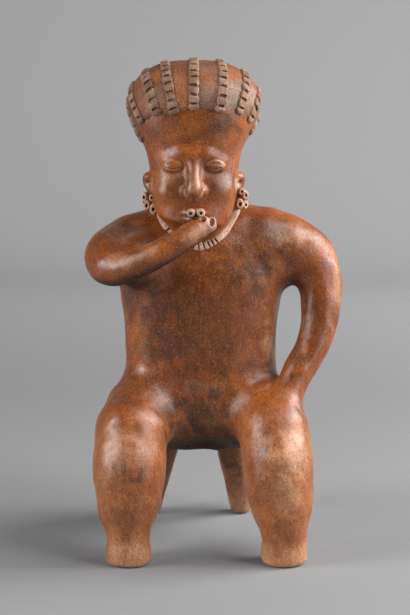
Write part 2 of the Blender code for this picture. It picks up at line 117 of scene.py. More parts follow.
# Coils of clay: X, Y, height, radius
NECK = ((-3.4, 1.4, 58.0, 6.6), (-3.6, 0.6, 66.0, 6.4), (-3.9, -1.6, 74.0, 6.6))
SHOULDERS = (
    (-12.6, 0.4, 63.9, 5.2),
    (-7.0, 0.8, 64.6, 5.7),
    (2.0, 0.8, 64.4, 5.7),
    (8.4, 0.4, 63.4, 6.0),
)
RAISED_ARM = (
    (-10.6, 0.4, 62.6, 6.1),
    (-16.0, -0.4, 62.5, 5.9),
    (-19.8, -3.4, 61.5, 5.4),
    (-21.2, -7.2, 60.1, 4.7),
    (-19.8, -11.0, 59.3, 4.0),
    (-16.0, -14.2, 60.4, 3.1),
    (-10.6, -16.2, 62.9, 2.9),
    (-6.2, -16.1, 65.6, 2.5),
    (-3.6, -15.2, 67.0, 2.1),
)
BENT_ARM = (
    (7.4, 0.4, 62.2, 6.7),
    (13.2, 0.2, 62.1, 6.9),
    (18.9, -0.6, 59.6, 5.8),
    (21.5, -1.8, 54.6, 4.7),
    (21.6, -3.4, 48.8, 4.0),
    (20.4, -5.2, 43.2, 3.6),
    (17.6, -7.2, 38.0, 3.4),
    (15.0, -9.4, 33.4, 3.2),
    (12.8, -11.6, 29.8, 3.2),
)
ARM_FOLD = ((-11.0, -3.6, 59.8, 6.4), (-14.0, -6.0, 60.0, 6.0), (-17.4, -8.0, 60.0, 4.6))
ARMPIT = ((9.0, 0.0, 58.8, 7.5), (14.4, -0.5, 60.0, 5.7))
RIGHT_THIGH = ((-10.6, 0.6, 30.6, 7.6), (-13.8, -5.0, 29.4, 7.6), (-16.4, -11.0, 26.2, 7.2))
LEFT_THIGH = ((5.6, 0.6, 30.0, 7.2), (9.2, -5.0, 29.0, 7.4), (12.0, -11.0, 26.0, 7.0))
RIGHT_SHIN = (
    (-16.6, -12.6, 26.0, 6.8),
    (-16.8, -14.4, 20.5, 7.5),
    (-16.9, -15.0, 15.8, 7.1),
    (-17.1, -15.6, 12.0, 6.3),
    (-17.2, -16.2, 8.6, 5.2),
    (-17.2, -16.4, 5.0, 4.6),
    (-17.2, -16.4, 2.4, 4.8),
    (-17.2, -16.4, 0.6, 4.5),
    (-17.2, -16.4, -0.6, 3.7),
)
LEFT_SHIN = (
    (12.3, -12.6, 26.0, 6.6),
    (12.8, -14.4, 20.5, 7.3),
    (13.1, -15.0, 15.8, 7.1),
    (13.6, -15.6, 12.0, 6.3),
    (14.0, -16.2, 8.6, 5.2),
    (14.1, -16.4, 5.0, 4.6),
    (14.1, -16.4, 2.4, 4.8),
    (14.1, -16.4, 0.6, 4.5),
    (14.1, -16.4, -0.6, 3.7),
)
RIGHT_KNEECAP = ((-17.4, -17.6, 25.2, 2.6), (-16.6, -18.8, 22.6, 2.8))
LEFT_KNEECAP = ((13.2, -17.6, 25.2, 2.6), (12.4, -18.8, 22.6, 2.8))
LEGS = ((RIGHT_THIGH, RIGHT_SHIN, RIGHT_KNEECAP), (LEFT_THIGH, LEFT_SHIN, LEFT_KNEECAP))
SEAT_MIDDLE = (-4.0, 9.0, 21.0)
SEAT_HALF = (11.6, 9.6, 2.2)
SEAT_EDGE = 1.76
REAR_LEGS = (
    ((-13.9, 18.5, -1.0, 2.2), (-10.43, 13.88, 18.6, 3.9)),
    ((6.2, 18.5, -1.0, 2.1), (3.65, 13.88, 18.6, 3.7)),
)
CROTCH = (-2.3, -9.5, 18.4, 8.0, 7.8, 4.9)  # the hollow under the front of the seat: middle and half sizes
PALM = ((-5.0, -15.6, 66.4, 2.1), (-2.6, -15.1, 67.5, 1.75), (-0.9, -14.5, 68.0, 1.35))
FINGERS = (
    ((-5.6, -15.3, 67.2, 1.2), (-4.05, -14.8, 68.4, 0.80)),
    ((-4.3, -15.2, 67.2, 1.2), (-3.05, -14.7, 68.5, 0.80)),
    ((-2.1, -14.9, 68.8, 1.05), (-1.9, -14.7, 69.2, 1.00)),
    ((-0.5, -14.4, 68.2, 1.05), (-0.4, -14.2, 69.0, 0.95)),
)
FINGER_GAPS = (
    ((-2.05, -18.0, 69.9, 0.48), (-2.05, -13.8, 69.2, 0.44)),
    ((-0.40, -18.0, 69.5, 0.34), (-0.40, -13.8, 68.9, 0.32)),
    ((-0.45, -18.0, 68.9, 0.32), (-0.45, -13.9, 68.4, 0.30)),
)

# The face, on even thirds between hairline and chin
NOSE = (
    (-3.95, -11.2, 81.8, 0.8),
    (-3.95, -12.6, 78.2, 1.1),
    (-3.95, -13.9, 75.3, 1.5),
    (-3.95, -13.0, 74.2, 1.2),
)
NOSTRILS = ((-5.4, -12.5, 74.6, 1.0), (-3.95, -13.3, 74.6, 1.2), (-2.5, -12.5, 74.6, 1.0))
BROW = (
    (-8.6, -9.6, 80.6, 0.8),
    (-6.4, -11.0, 81.8, 1.0),
    (-3.95, -11.3, 81.4, 1.0),
    (-1.5, -11.0, 81.8, 1.0),
    (0.7, -9.6, 80.6, 0.8),
)
LIPS = (
    ((-6.6, -12.0, 70.2, 0.35), (-3.95, -13.1, 70.6, 0.55), (-1.3, -12.0, 70.2, 0.35)),
    ((-6.2, -12.0, 69.3, 0.35), (-3.95, -13.1, 69.1, 0.60), (-1.7, -12.0, 69.3, 0.35)),
)
NOSTRIL_HOLES = (
    ((-4.75, -13.6, 73.0, 0.40), (-4.75, -13.2, 74.3, 0.35)),
    ((-3.15, -13.6, 73.0, 0.40), (-3.15, -13.2, 74.3, 0.35)),
)
CHIN = (-3.95, -11.4, 66.4, 2.2, 1.5, 1.5)
CHEEKS = ((-8.6, -8.6, 74.6, 2.6, 2.6, 2.4), (0.7, -8.6, 74.6, 2.6, 2.6, 2.4))
EYE_SPREAD = 4.1
EYE_HEIGHT = 79.2
EYE_HALF = (1.9, 0.95, 1.05)
EYE_FRONT = -10.85
EYE_TURN = 12  # degrees that an eye and its socket turn to the side
SOCKET_HALF = (2.7, 1.4, 1.5)
SOCKET_FRONT = -12.7
SOCKET_LIFT = 0.1  # how far a socket's middle is above its eye's
RIGHT_EAR = (
    (-12.2, -4.8, 76.6, 0.7),
    (-13.0, -3.6, 76.3, 1.1),
    (-13.0, -3.4, 75.1, 1.1),
    (-12.2, -4.4, 73.8, 1.0),
)
LEFT_EAR = tuple((2 * HEAD_MIDDLE - x, y, z, radius) for x, y, z, radius in RIGHT_EAR)
RIGHT_EAR_STRING = (
    (-12.4, -3.8, 73.4, 0.9),
    (-12.6, -4.1, 72.1, 1.1),
    (-12.2, -4.6, 70.7, 1.1),
    (-11.2, -5.2, 69.9, 0.9),
)
LEFT_EAR_STRING = (
    (4.6, -3.8, 73.6, 0.9),
    (5.3, -4.1, 72.3, 1.1),
    (4.8, -4.6, 71.1, 1.1),
    (3.6, -5.2, 70.5, 0.9),
)

# Braids lie in planes that fan out round a line from front to back: height of the front end, tilt of
# the front end from upright and tilt over the crown, in degrees
BRAIDS = (
    (83.6, -52, -34),
    (87.6, -36, -29),
    (89.3, -22, -21),
    (89.4, -12, -12),
    (90.4, 0, 0),
    (89.9, 17, 11),
    (89.4, 29, 22),
    (87.6, 38, 31),
    (85.0, 48, 38),
)
FAN = np.array((HEAD_MIDDLE, -2.0, 72.0))  # a point on the line that the braids fan out round
RIGHT_HAIR_EDGE = (82.6, -63, -41)
LEFT_HAIR_EDGE = (83.6, 61, 44)
BRAID_BACK_HEIGHT = 80.0
BRAID_TURN = 35.0
COMB_LINES = 150

# The necklace lies round the foot of the neck: its middle, and the height it is aimed at there as a mean
# and the heights of one and of two waves round the neck
NECKLACE_MIDDLE = np.array((-3.25, -1.0))
NECKLACE_AIM = (61.9, -4.2, -1.2)
NECKLACE_LAP = 0.3  # how far the head's and the body's skins stop from the band's middle line
# Turns of its notches from the front, in degrees
NECKLACE_NOTCHES = (-47.0, -38.5, -33.5, -28.0, -22.5, -17.0, -11.5, -5.0, 2.0, 9.0, 15.5, 21.0, 26.5)

# Pierced pellets: X, Y, height, how far each faces out to +X, how tall for its width, and size
NOSE_PELLETS = (
    (-4.50, -14.0, 70.55, -0.1, 1.0, 1.12),
    (-2.55, -14.0, 70.60, 0.1, 1.0, 1.12),
)
EAR_PELLETS = (
    (-13.7, -4.9, 72.5, -0.6, 1.30, 1.00),
    (-13.2, -5.3, 70.9, -0.5, 1.50, 1.00),
    (-12.0, -5.9, 70.2, -0.1, 1.50, 1.05),
    (-12.3, -5.2, 72.4, -0.2, 1.2, 0.90),
    (-13.6, -3.8, 71.4, -1.6, 1.3, 1.00),
    (6.2, -4.9, 72.9, 0.6, 1.3, 1.00),
    (5.2, -5.7, 71.2, 0.1, 1.4, 1.05),
    (6.2, -5.1, 71.0, 0.6, 1.3, 0.95),
    (5.5, -5.0, 73.6, 0.3, 1.2, 0.90),
    (6.2, -3.8, 71.8, 1.6, 1.3, 1.00),
)

# Creases pressed in from the front: X, height and half width along each. An eye's are from its middle.
EYE_SLIT = (
    (-1.75, 0.1, 0.10),
    (-0.9, -0.22, 0.17),
    (0.0, -0.34, 0.19),
    (0.9, -0.22, 0.17),
    (1.75, 0.1, 0.10),
)
LID_EDGE = ((-2.0, 0.15, 0.12), (-1.1, 0.95, 0.24), (0.0, 1.25, 0.26), (1.1, 0.95, 0.24), (2.0, 0.15, 0.12))
MOUTH_SLIT = (
    (-6.3, 69.95, 0.10),
    (-5.0, 69.75, 0.17),
    (-3.95, 69.8, 0.19),
    (-2.9, 69.75, 0.17),
    (-1.6, 69.95, 0.10),
)

# Fire clouds, rubbed places and worn places seen from the front, with painted highlights and painted shade
# among them: X, height, half width, half height, tone and strength
BODY_BLOTS = (
    (-19.2, 67.2, 4.6, 2.6, "smoke_and_shade", 0.55),
    # fire cloud, partly painted shade in the fold between the neck and the upper arm
    (-13.5, 65.2, 4.4, 3.2, "smoke_and_shade", 0.75),
    (-22.7, 65.0, 2.6, 3.0, "brown_and_shade", 0.45),
    (-19.0, 66.2, 4.8, 2.8, "dust_and_highlight", 0.28),
    # painted highlight on the shoulder at +X
    (14.0, 64.8, 4.4, 1.9, "dust_and_highlight", 0.60),
    (-10.8, 64.2, 3.8, 1.5, "orange", 0.75),
    (-11.8, 62.8, 4.2, 1.5, "orange", 0.55),
    # painted highlight on the elbow of the raised arm
    (-18.8, 61.4, 3.0, 1.5, "tan", 0.30),
    (-5.4, 66.7, 2.4, 1.6, "tan", 0.35),
    # fire cloud, partly painted shade under the raised forearm
    (-13.0, 57.2, 5.0, 2.0, "smoke_and_shade", 0.55),
    (-9.7, 53.0, 4.6, 5.0, "smoke_and_shade", 0.45),
    (-12.8, 46.5, 2.6, 5.6, "smoke_and_shade", 0.40),
    (-8.4, 43.4, 3.6, 4.6, "smoke_and_shade", 0.56),
    (-15.4, 45.8, 1.2, 3.8, "orange", 0.65),
    (-1.5, 50.0, 13.0, 14.0, "brown_and_shade", 0.62),
    # browned slip, partly painted shade beside the armpit
    (8.6, 59.6, 4.6, 5.0, "brown_and_shade", 0.85),
    (-1.7, 55.5, 4.6, 4.2, "red", 0.50),
    (-5.4, 58.8, 3.0, 2.2, "orange", 0.30),
    (7.3, 47.4, 2.4, 5.4, "red", 0.75),
    (2.2, 51.5, 3.0, 5.0, "red", 0.40),
    (6.4, 56.4, 2.0, 2.2, "smoke_and_shade", 0.15),
    # painted shade in the armpit crease
    (10.6, 58.6, 1.6, 2.6, "smoke_and_shade", 0.30),
    (8.3, 63.2, 3.4, 1.4, "orange", 0.35),
    (3.6, 62.6, 4.0, 1.8, "brown_and_shade", 0.35),
    (12.3, 67.2, 5.0, 1.4, "smoke_and_shade", 0.35),
    (-1.7, 38.4, 9.5, 1.6, "brown_and_shade", 0.50),
    (-3.0, 42.6, 8.5, 0.8, "brown_and_shade", 0.30),
    (-3.4, 34.4, 8.5, 1.6, "tan", 0.16),
    (11.0, 41.0, 1.3, 5.6, "tan", 0.55),
    # painted shade between the legs, in this row and the next two
    (-3.4, 28.6, 5.6, 4.6, "smoke_and_shade", 0.72),
    (-8.0, 31.4, 2.0, 3.0, "smoke_and_shade", 0.45),
    (2.2, 31.4, 2.2, 3.2, "smoke_and_shade", 0.40),
    (-19.4, 33.2, 3.2, 1.8, "brown_and_shade", 0.50),
    (-13.2, 30.0, 2.6, 3.6, "orange", 0.50),
    (-20.6, 29.6, 1.8, 3.0, "orange", 0.35),
    # worn pale clay, partly a painted highlight on the knee at -X
    (-17.6, 24.6, 4.0, 4.0, "tan", 0.40),
    # painted highlights down both sides of the foot at -X, in this row and the next
    (-19.6, 4.2, 1.4, 4.0, "tan", 0.65),
    (-15.6, 4.2, 1.2, 4.0, "tan", 0.65),
    (-17.8, 20.8, 0.50, 4.0, "smoke_and_shade", 0.38),
    (-14.3, 20.2, 0.75, 1.6, "smoke_and_shade", 0.70),
    (-15.9, 18.6, 2.0, 0.75, "smoke_and_shade", 0.70),
    (-17.2, 15.8, 1.2, 1.3, "smoke_and_shade", 0.42),
    (-9.4, 30.6, 2.4, 3.4, "brown_and_shade", 0.70),
    (-11.6, 20.0, 1.5, 6.0, "red", 0.55),
    (8.2, 20.0, 1.5, 6.5, "red", 0.60),
    # painted shade between the legs
    (-3.0, 25.6, 6.5, 2.6, "smoke_and_shade", 0.45),
    (-21.8, 26.0, 0.5, 1.0, "smoke_and_shade", 0.55),
    (-18.2, 11.6, 2.6, 1.3, "smoke_and_shade", 0.42),
    (-17.0, 7.0, 3.4, 2.4, "orange", 0.40),
    # partly a painted highlight down the outer side of the knee at -X
    (-20.9, 22.8, 1.2, 4.8, "tan", 0.50),
    (-12.2, 25.0, 1.4, 4.6, "orange", 0.65),
    (-12.2, 16.0, 1.6, 3.6, "orange", 0.40),
    (-20.6, 4.4, 2.0, 3.4, "orange", 0.45),
    (16.1, 28.4, 2.6, 2.0, "orange", 0.75),
    (7.2, 28.4, 2.0, 3.6, "orange", 0.65),
    (10.4, 24.4, 0.5, 0.8, "smoke_and_shade", 0.85),
    (10.6, 27.6, 0.9, 0.5, "smoke_and_shade", 0.60),
    (15.0, 13.0, 1.1, 0.7, "smoke_and_shade", 0.60),
    # worn pale clay, partly painted highlights on the knee and shin at +X, in this row and the next
    (14.6, 23.6, 3.8, 5.4, "tan", 0.62),
    (14.8, 16.0, 3.2, 5.0, "tan", 0.50),
    (-16.6, 51.0, 2.4, 4.8, "brown_and_shade", 0.80),
    # painted highlight down the inner edge of the bent arm
    (18.0, 48.0, 0.8, 7.0, "tan", 0.50),
    (-2.0, 67.4, 2.4, 1.5, "tan", 0.35),
    # painted shade on the rear leg under the seat
    (4.4, 15.0, 4.0, 4.0, "smoke_and_shade", 0.60),
    (5.4, 7.6, 3.0, 5.0, "brown_and_shade", 0.40),
    # painted shade on the rear leg under the seat, in this row and the next
    (3.7, 11.9, 2.8, 1.4, "grime_and_shade", 0.95),
    (5.9, 10.4, 1.7, 1.5, "grime_and_shade", 0.95),
    (5.2, 4.0, 2.0, 3.2, "tan", 0.60),
    (15.7, 37.4, 0.6, 1.0, "smoke_and_shade", 0.85),
    (15.2, 35.0, 1.6, 2.0, "brown_and_shade", 0.35),
    # painted highlight down the outer edge of the bent arm
    (24.9, 55.6, 1.2, 8.0, "tan", 0.45),
    (21.4, 47.0, 1.6, 6.0, "brown_and_shade", 0.30),
    (22.5, 62.6, 2.8, 2.4, "orange", 0.45),
    # painted highlight on the same shoulder
    (15.2, 64.2, 3.0, 1.5, "tan", 0.38),
    (15.6, 33.8, 2.0, 2.0, "orange", 0.40),
)
HEAD_BLOTS = (
    (-3.9, 86.6, 8.5, 3.4, "brown_and_shade", 0.35),
    (1.2, 87.4, 2.6, 1.1, "smoke_and_shade", 0.50),
    (-9.6, 83.4, 1.8, 1.3, "smoke_and_shade", 0.40),
    (-3.7, 87.4, 3.2, 1.4, "orange", 0.45),
    (-7.6, 85.6, 2.6, 1.6, "orange", 0.35),
    (2.0, 84.2, 3.0, 1.6, "orange", 0.55),
    (-3.9, 84.8, 6.0, 0.7, "brown_and_shade", 0.30),
    # rubbed pale nose, partly a painted highlight
    (-4.0, 76.5, 1.6, 2.8, "tan", 0.40),
    (-12.9, 75.2, 1.4, 1.6, "pale", 0.45),
    (5.0, 75.2, 1.4, 1.6, "pale", 0.65),
    # painted shade: the chin behind the hand's ring holes is darkened so that the holes look dark, in this
    # row and the next
    (-2.15, 68.8, 0.9, 0.9, "grime_and_shade", 1.0),
    (-0.45, 68.4, 0.8, 0.9, "grime_and_shade", 1.0),
)
HAIR_BLOTS = (
    (-1.3, 93.0, 2.4, 3.2, "dust_and_highlight", 0.45),
    (3.4, 93.4, 2.6, 3.6, "dust_and_highlight", 0.85),
    (7.4, 92.6, 1.6, 3.2, "dust_and_highlight", 0.70),
    (-1.7, 96.9, 2.4, 1.6, "orange", 0.70),
    (4.2, 97.2, 2.6, 1.6, "orange", 0.95),
    (-11.0, 97.0, 1.4, 1.4, "orange", 0.90),
    (-6.6, 94.0, 1.6, 5.0, "orange", 0.55),
    (-9.6, 91.0, 1.2, 3.0, "orange", 0.40),
    (-14.2, 93.8, 1.4, 3.4, "orange", 0.45),
    (-12.6, 92.0, 1.0, 2.6, "dust_and_highlight", 0.40),
)

REACH = 4.0  # how far outside a coil its distance is still worked out
BEYOND = 9.0  # what its distance counts as further out
TINY = 1e-6  # keeps a division from being by 0

# Unevenness of the hand-worked clay: height, length of its waves and seed
BODY_UNEVENNESS = ((0.07, 7.0, 3), (0.025, 2.6, 5))
HEAD_UNEVENNESS = ((0.04, 6.0, 4), (0.015, 2.4, 6))
FOOT_EDGE = 1.1  # blend of the flat ground with the feet
MOVES = (0.5, 0.35, 0.0)  # shares by which a skin's points are evened out, one after another

# How finely the hair and the braids are made
HAIR_ROWS = 62
LINES_PER_RIDGE = 5
BRAID_SIDES = 16
BRAID_SQUARENESS = 3.4
BRAID_SPOTS = 500  # points that a braid's line is first found at
LOBE_SPOTS = (0, 0.03, 0.06, 0.09, 0.12, 0.17, 0.26, 0.38, 0.50, 0.62, 0.71, 0.77, 0.82, 0.86, 0.90, 0.95)
NECKLACE_SIDES = 15
NECKLACE_SQUARENESS = 3.0
PELLET_SIDES = 20


def placed(points):
    """Points in hundredths of the height, as places in metres on the ground the figure stands on."""
    return (points + GROUND_SHIFT) * HUNDREDTH


def smooth_rows(rows, steps):
    """Rows on a Catmull-Rom curve through the given ones, steps to each span."""
    rows = np.array(rows, float)
    padded = np.vstack([2 * rows[0] - rows[1], rows, 2 * rows[-1] - rows[-2]])
    t = np.linspace(0, 1, steps, endpoint=False)[:, None]
    spans = []
    for a, b, c, d in zip(padded, padded[1:], padded[2:], padded[3:]):
        bent, turned = 2 * a - 5 * b + 4 * c - d, 3 * b - a - 3 * c + d
        spans.append(0.5 * (2 * b + (c - a) * t + bent * t**2 + turned * t**3))
    return np.vstack([*spans, rows[-1:]])


def ramp(values, start, end):
    """0 up to start, 1 from end on, and the smooth step 3t^2 - 2t^3 between them."""
    t = np.clip((values - start) / (end - start), 0, 1)
    return t * t * (3 - 2 * t)


def ripple(points, size, seed, waves=20):
    """A smooth uneven field of about unit height: a sum of sine waves in every direction, of nearly one
    length.
    """
    rng = np.random.default_rng(seed)
    ways = rng.normal(size=(waves, 3))
    ways /= np.linalg.norm(ways, axis=1)[:, None]
    lengths = size * rng.uniform(0.7, 1.6, waves)
    phases = rng.uniform(0, 2 * np.pi, waves)
    total = np.zeros(len(points))
    for way, length, phase in zip(ways, lengths, phases):
        total += np.sin(points @ way * (2 * np.pi / length) + phase)
    return total * math.sqrt(2 / waves)


def patches(points, size, seed, start, end):
    """Patches from 0 to 1: a ripple, cut off under start and over end."""
    return ramp(ripple(points, size, seed), start, end)


def uneven(clay, points, rows):
    """The field with ripples on it: rows of height, length and seed."""
    for height, size, seed in rows:
        clay = clay + height * ripple(points, size, seed)
    return clay


def join(first, second, blend):
    """Two fields pressed together: the lesser of the two, with a fillet where they differ by less than
    blend.
    """
    near = np.maximum(blend - np.abs(first - second), 0) / blend
    return np.minimum(first, second) - near * near * blend / 4


def carve(first, cutter, blend):
    """The first field with the cutter's form taken out of it, its rim rounded."""
    return -join(-first, cutter, blend)


def coil(points, rows, steps=9):
    """Distance to a rolled coil: the least, over its straight stretches, of the gap to the nearest point of
    the stretch less the radius there. Away from the coil it is just BEYOND.
    """
    rows = smooth_rows(rows, steps) if steps > 1 else np.array(rows, float)
    low = (rows[:, :3] - rows[:, 3:]).min(axis=0) - REACH
    high = (rows[:, :3] + rows[:, 3:]).max(axis=0) + REACH
    near = np.flatnonzero(np.all((points > low) & (points < high), axis=1))
    part = points[near]
    least = np.full(len(part), BEYOND)
    for start, end in zip(rows, rows[1:]):
        along = end[:3] - start[:3]
        off = part - start[:3]
        share = np.clip(off @ along / (along @ along), 0, 1)
        off -= share[:, None] * along
        gap = np.sqrt(np.einsum("ij,ij->i", off, off)) - start[3] - share * (end[3] - start[3])
        np.minimum(least, gap, out=least)
    found = np.full(len(points), BEYOND)
    found[near] = least
    return found


def pressed_on(clay, points, coils, steps=9):
    """The field with coils pressed on one after another: pairs of a coil's rows and its blend."""
    for rows, blend in coils:
        clay = join(clay, coil(points, rows, steps), blend)
    return clay


def ball(points, middle, half, turn=0.0):
    """Distance to a ball squashed to three half sizes, and turned round the upright."""
    off = points - middle
    if turn:
        c, s = math.cos(math.radians(turn)), math.sin(math.radians(turn))
        off = np.stack([off[:, 0] * c + off[:, 1] * s, off[:, 1] * c - off[:, 0] * s, off[:, 2]], axis=1)
    scaled = np.linalg.norm(off / half, axis=1)
    slope = np.linalg.norm(off / np.square(half), axis=1)
    return scaled * (scaled - 1) / np.maximum(slope, TINY)


def column(points, middle, sections, squareness):
    """Distance to a standing column of oval sections.

    At each height the section is |x/a|^n + |y/b|^n = 1. The gap is measured level, away from the column's
    middle, and leant by the slope of the column's side there.
    """
    height, forward, wide, deep = smooth_rows(sections, 8).T
    z = np.clip(points[:, 2], height[0], height[-1])
    x = points[:, 0] - middle
    y = points[:, 1] - np.interp(z, height, forward)
    a, b = np.interp(z, height, wide), np.interp(z, height, deep)
    ratio = ((np.abs(x) / a) ** squareness + (np.abs(y) / b) ** squareness) ** (1 / squareness)
    ratio = np.maximum(ratio, TINY)
    flat = np.maximum(np.hypot(x, y), TINY)
    lean = np.interp(z, height, np.gradient(wide, height)) * np.abs(x) / flat
    lean += np.interp(z, height, np.gradient(deep, height)) * np.abs(y) / flat
    lean += np.interp(z, height, np.gradient(forward, height)) * y / flat
    side = (1 - 1 / ratio) * flat / np.sqrt(1 + lean * lean)
    end = np.maximum(points[:, 2] - height[-1], height[0] - points[:, 2])
    return np.where((side > 0) & (end > 0), np.hypot(side, end), np.maximum(side, end))


def slab(points, middle, half, edge):
    """Distance to a slab whose edges and corners are rounded to the given radius."""
    off = np.abs(points - middle) - (np.array(half) - edge)
    return np.linalg.norm(np.maximum(off, 0), axis=1) + np.minimum(off.max(axis=1), 0) - edge


def necklace_aim(turn):
    """The height that the necklace is aimed at, at turns round the neck."""
    mean, front, sides = NECKLACE_AIM
    return mean + front * np.cos(turn) + sides * np.cos(2 * turn)


def above_necklace(points):
    """How far a place is above the cone that the necklace's middle line lies on."""
    off = points[:, :2] - NECKLACE_MIDDLE
    cone = necklace_aim(np.arctan2(off[:, 0], -off[:, 1])) + np.hypot(off[:, 0], off[:, 1])
    return (points[:, 2] - cone) * math.sqrt(0.5)


def trunk(points):
    """The torso, shoulders and neck, without limbs."""
    clay = column(points, MIDDLE, TORSO, TORSO_SQUARENESS)
    return pressed_on(clay, points, ((SHOULDERS, 2.4), (NECK, 1.8)))


def head_form(points):
    """The head's own column of clay with the hair's bulk, without the face or the ears."""
    return column(points, HEAD_MIDDLE, HEAD, HEAD_SQUARENESS) + SKIN_DRAW


def on_front(field, places, start=-26.0, depth=26.0):
    """Rows of X, height and more, pressed on the clay from the front: the first place where the field,
    walked from the front along +Y, is under 0.
    """
    places = np.array(places, float)
    steps = np.linspace(start, start + depth, 261)
    walk = np.empty((len(places), len(steps), 3))
    walk[:, :, 0] = places[:, :1]
    walk[:, :, 1] = steps
    walk[:, :, 2] = places[:, 1:2]
    inside = field(walk.reshape(-1, 3)).reshape(len(places), -1) < 0
    if not inside.any(axis=1).all():
        raise RuntimeError("a mark lies off the clay")
    y = steps[inside.argmax(axis=1)] - 0.05
    return np.column_stack([places[:, 0], y, places[:, 1:]])


def limbs(points):
    """The trunk, cut off under the necklace, with its arms, legs, seat and rear legs."""
    clay = pressed_on(trunk(points), points, ((BENT_ARM, 2.6), (ARMPIT, 1.8), (ARM_FOLD, 1.6)))
    clay = carve(clay, NECKLACE_LAP - above_necklace(points), 0.1)
    clay = join(clay, coil(points, RAISED_ARM), 1.3)
    for thigh, shin, kneecap in LEGS:
        leg = pressed_on(coil(points, thigh), points, ((shin, 2.0), (kneecap, 1.6)))
        clay = join(clay, leg, 2.6)
    clay = join(clay, slab(points, SEAT_MIDDLE, SEAT_HALF, SEAT_EDGE), 1.4)
    clay = carve(clay, ball(points, CROTCH[:3], CROTCH[3:]), 0.7)
    return pressed_on(clay, points, [(leg, 1.6) for leg in REAR_LEGS], steps=1) + SKIN_DRAW


def body_field(points):
    """The limbs with fingers and the hand-made unevenness, cut off flat at the ground."""
    clay = join(limbs(points), coil(points, PALM), 1.0)
    clay = pressed_on(clay, points, [(finger, 0.5) for finger in FINGERS], steps=1)
    for gap in FINGER_GAPS:
        clay = carve(clay, coil(points, gap, steps=1), 0.25)
    return carve(uneven(clay, points, BODY_UNEVENNESS), points[:, 2], FOOT_EDGE)


def face_form(points):
    """The head and neck with brow, sockets, nose, lips and closed eyes, before the slits are cut."""
    clay = join(head_form(points), trunk(points) + SKIN_DRAW, 2.0)
    for side in (-1, 1):
        socket = (HEAD_MIDDLE + side * EYE_SPREAD, SOCKET_FRONT, EYE_HEIGHT + SOCKET_LIFT)
        clay = carve(clay, ball(points, socket, SOCKET_HALF, side * EYE_TURN), 1.4)
    clay = pressed_on(clay, points, ((BROW, 1.6), (NOSE, 1.2), (NOSTRILS, 0.9)))
    for lump, blend in ((CHIN, 1.6), *((cheek, 2.0) for cheek in CHEEKS)):
        clay = join(clay, ball(points, lump[:3], lump[3:]), blend)
    clay = pressed_on(clay, points, [(lip, 0.5) for lip in LIPS])
    for side in (-1, 1):
        eye = (HEAD_MIDDLE + side * EYE_SPREAD, EYE_FRONT, EYE_HEIGHT)
        clay = join(clay, ball(points, eye, EYE_HALF, side * EYE_TURN), 0.5)
    return clay


def head_field(points, lids, slits):
    """The face with its lids, slits, nostrils, ears and ear strings, down to the necklace."""
    clay = pressed_on(face_form(points), points, [(lid, 0.3) for lid in lids])
    for slit in slits:
        clay = carve(clay, coil(points, slit), 0.12)
    for nostril in NOSTRIL_HOLES:
        clay = carve(clay, coil(points, nostril, steps=1), 0.15)
    ears = (RIGHT_EAR, LEFT_EAR, RIGHT_EAR_STRING, LEFT_EAR_STRING)
    clay = pressed_on(clay, points, [(ear, 0.5) for ear in ears])
    return carve(uneven(clay, points, HEAD_UNEVENNESS), above_necklace(points) + NECKLACE_LAP, 0.1)


def finer(values, axes):
    """The grid with a new node halfway between each two, at their mean."""
    for axis in range(3):
        values = np.moveaxis(values, axis, 0)
        more = np.empty((2 * len(values) - 1, *values.shape[1:]), values.dtype)
        more[::2] = values
        more[1::2] = (values[1:] + values[:-1]) / 2
        values = np.moveaxis(more, 0, axis)
    between = [np.interp(np.arange(2 * len(axis) - 1) / 2, np.arange(len(axis)), axis) for axis in axes]
    return values, between


def grid_points(axes, chosen=None):
    """The places of a grid's nodes, or of the chosen ones by flat number."""
    shape = tuple(len(axis) for axis in axes)
    chosen = np.arange(np.prod(shape)) if chosen is None else chosen
    return np.stack([axis[index] for axis, index in zip(axes, np.unravel_index(chosen, shape))], axis=1)


def zero_level(values, axes):
    """The zero level of a grid of values as four-sided faces.

    Each cell that the level crosses has one point, the mean of the crossings on its edges, and each
    crossed edge has one face, between the four cells round it.
    """
    shape = np.array(values.shape)
    inside = values < 0
    cells, places, quads = [], [], []
    for axis in range(3):
        step = np.eye(3, dtype=int)[axis]
        u, w = np.eye(3, dtype=int)[(axis + 1) % 3], np.eye(3, dtype=int)[(axis + 2) % 3]
        edge = np.argwhere(np.diff(inside.astype(np.int8), axis=axis) != 0)
        near, far = values[tuple(edge.T)], values[tuple((edge + step).T)]
        place = edge.astype(float)
        place[:, axis] += near / (near - far)
        ring = np.stack([edge - u - w, edge - w, edge, edge - u], axis=1)
        ring[near > 0] = ring[near > 0][:, ::-1]
        ring = np.ravel_multi_index(tuple(np.moveaxis(ring, 2, 0)), shape)
        quads.append(ring)
        cells.append(ring.ravel())
        places.append(np.repeat(place, 4, axis=0))
    cells, places, quads = np.concatenate(cells), np.vstack(places), np.vstack(quads)
    names, number = np.unique(cells, return_inverse=True)
    count = np.bincount(number)
    points = np.stack([np.bincount(number, places[:, axis]) / count for axis in range(3)], axis=1)
    points = np.stack([np.interp(points[:, i], np.arange(len(axes[i])), axes[i]) for i in range(3)], axis=1)
    return points, np.searchsorted(names, quads)


def slope(field, points, step=0.03):
    """The field at the points and its outward slope there."""
    values = field(points)
    grown = [(field(points + step * way) - values) / step for way in np.eye(3)]
    return values, np.stack(grown, axis=1)


def relaxed(points, quads, share):
    """Each point moved by a share of the way to the mean of its neighbours."""
    count = np.zeros(len(points))
    total = np.zeros_like(points)
    for shift in (1, 3):
        to = np.roll(quads, shift, axis=1).ravel()
        at = quads.ravel()
        count += np.bincount(at, minlength=len(points))
        for axis in range(3):
            total[:, axis] += np.bincount(at, points[to, axis], minlength=len(points))
    return points + share * (total / count[:, None] - points)


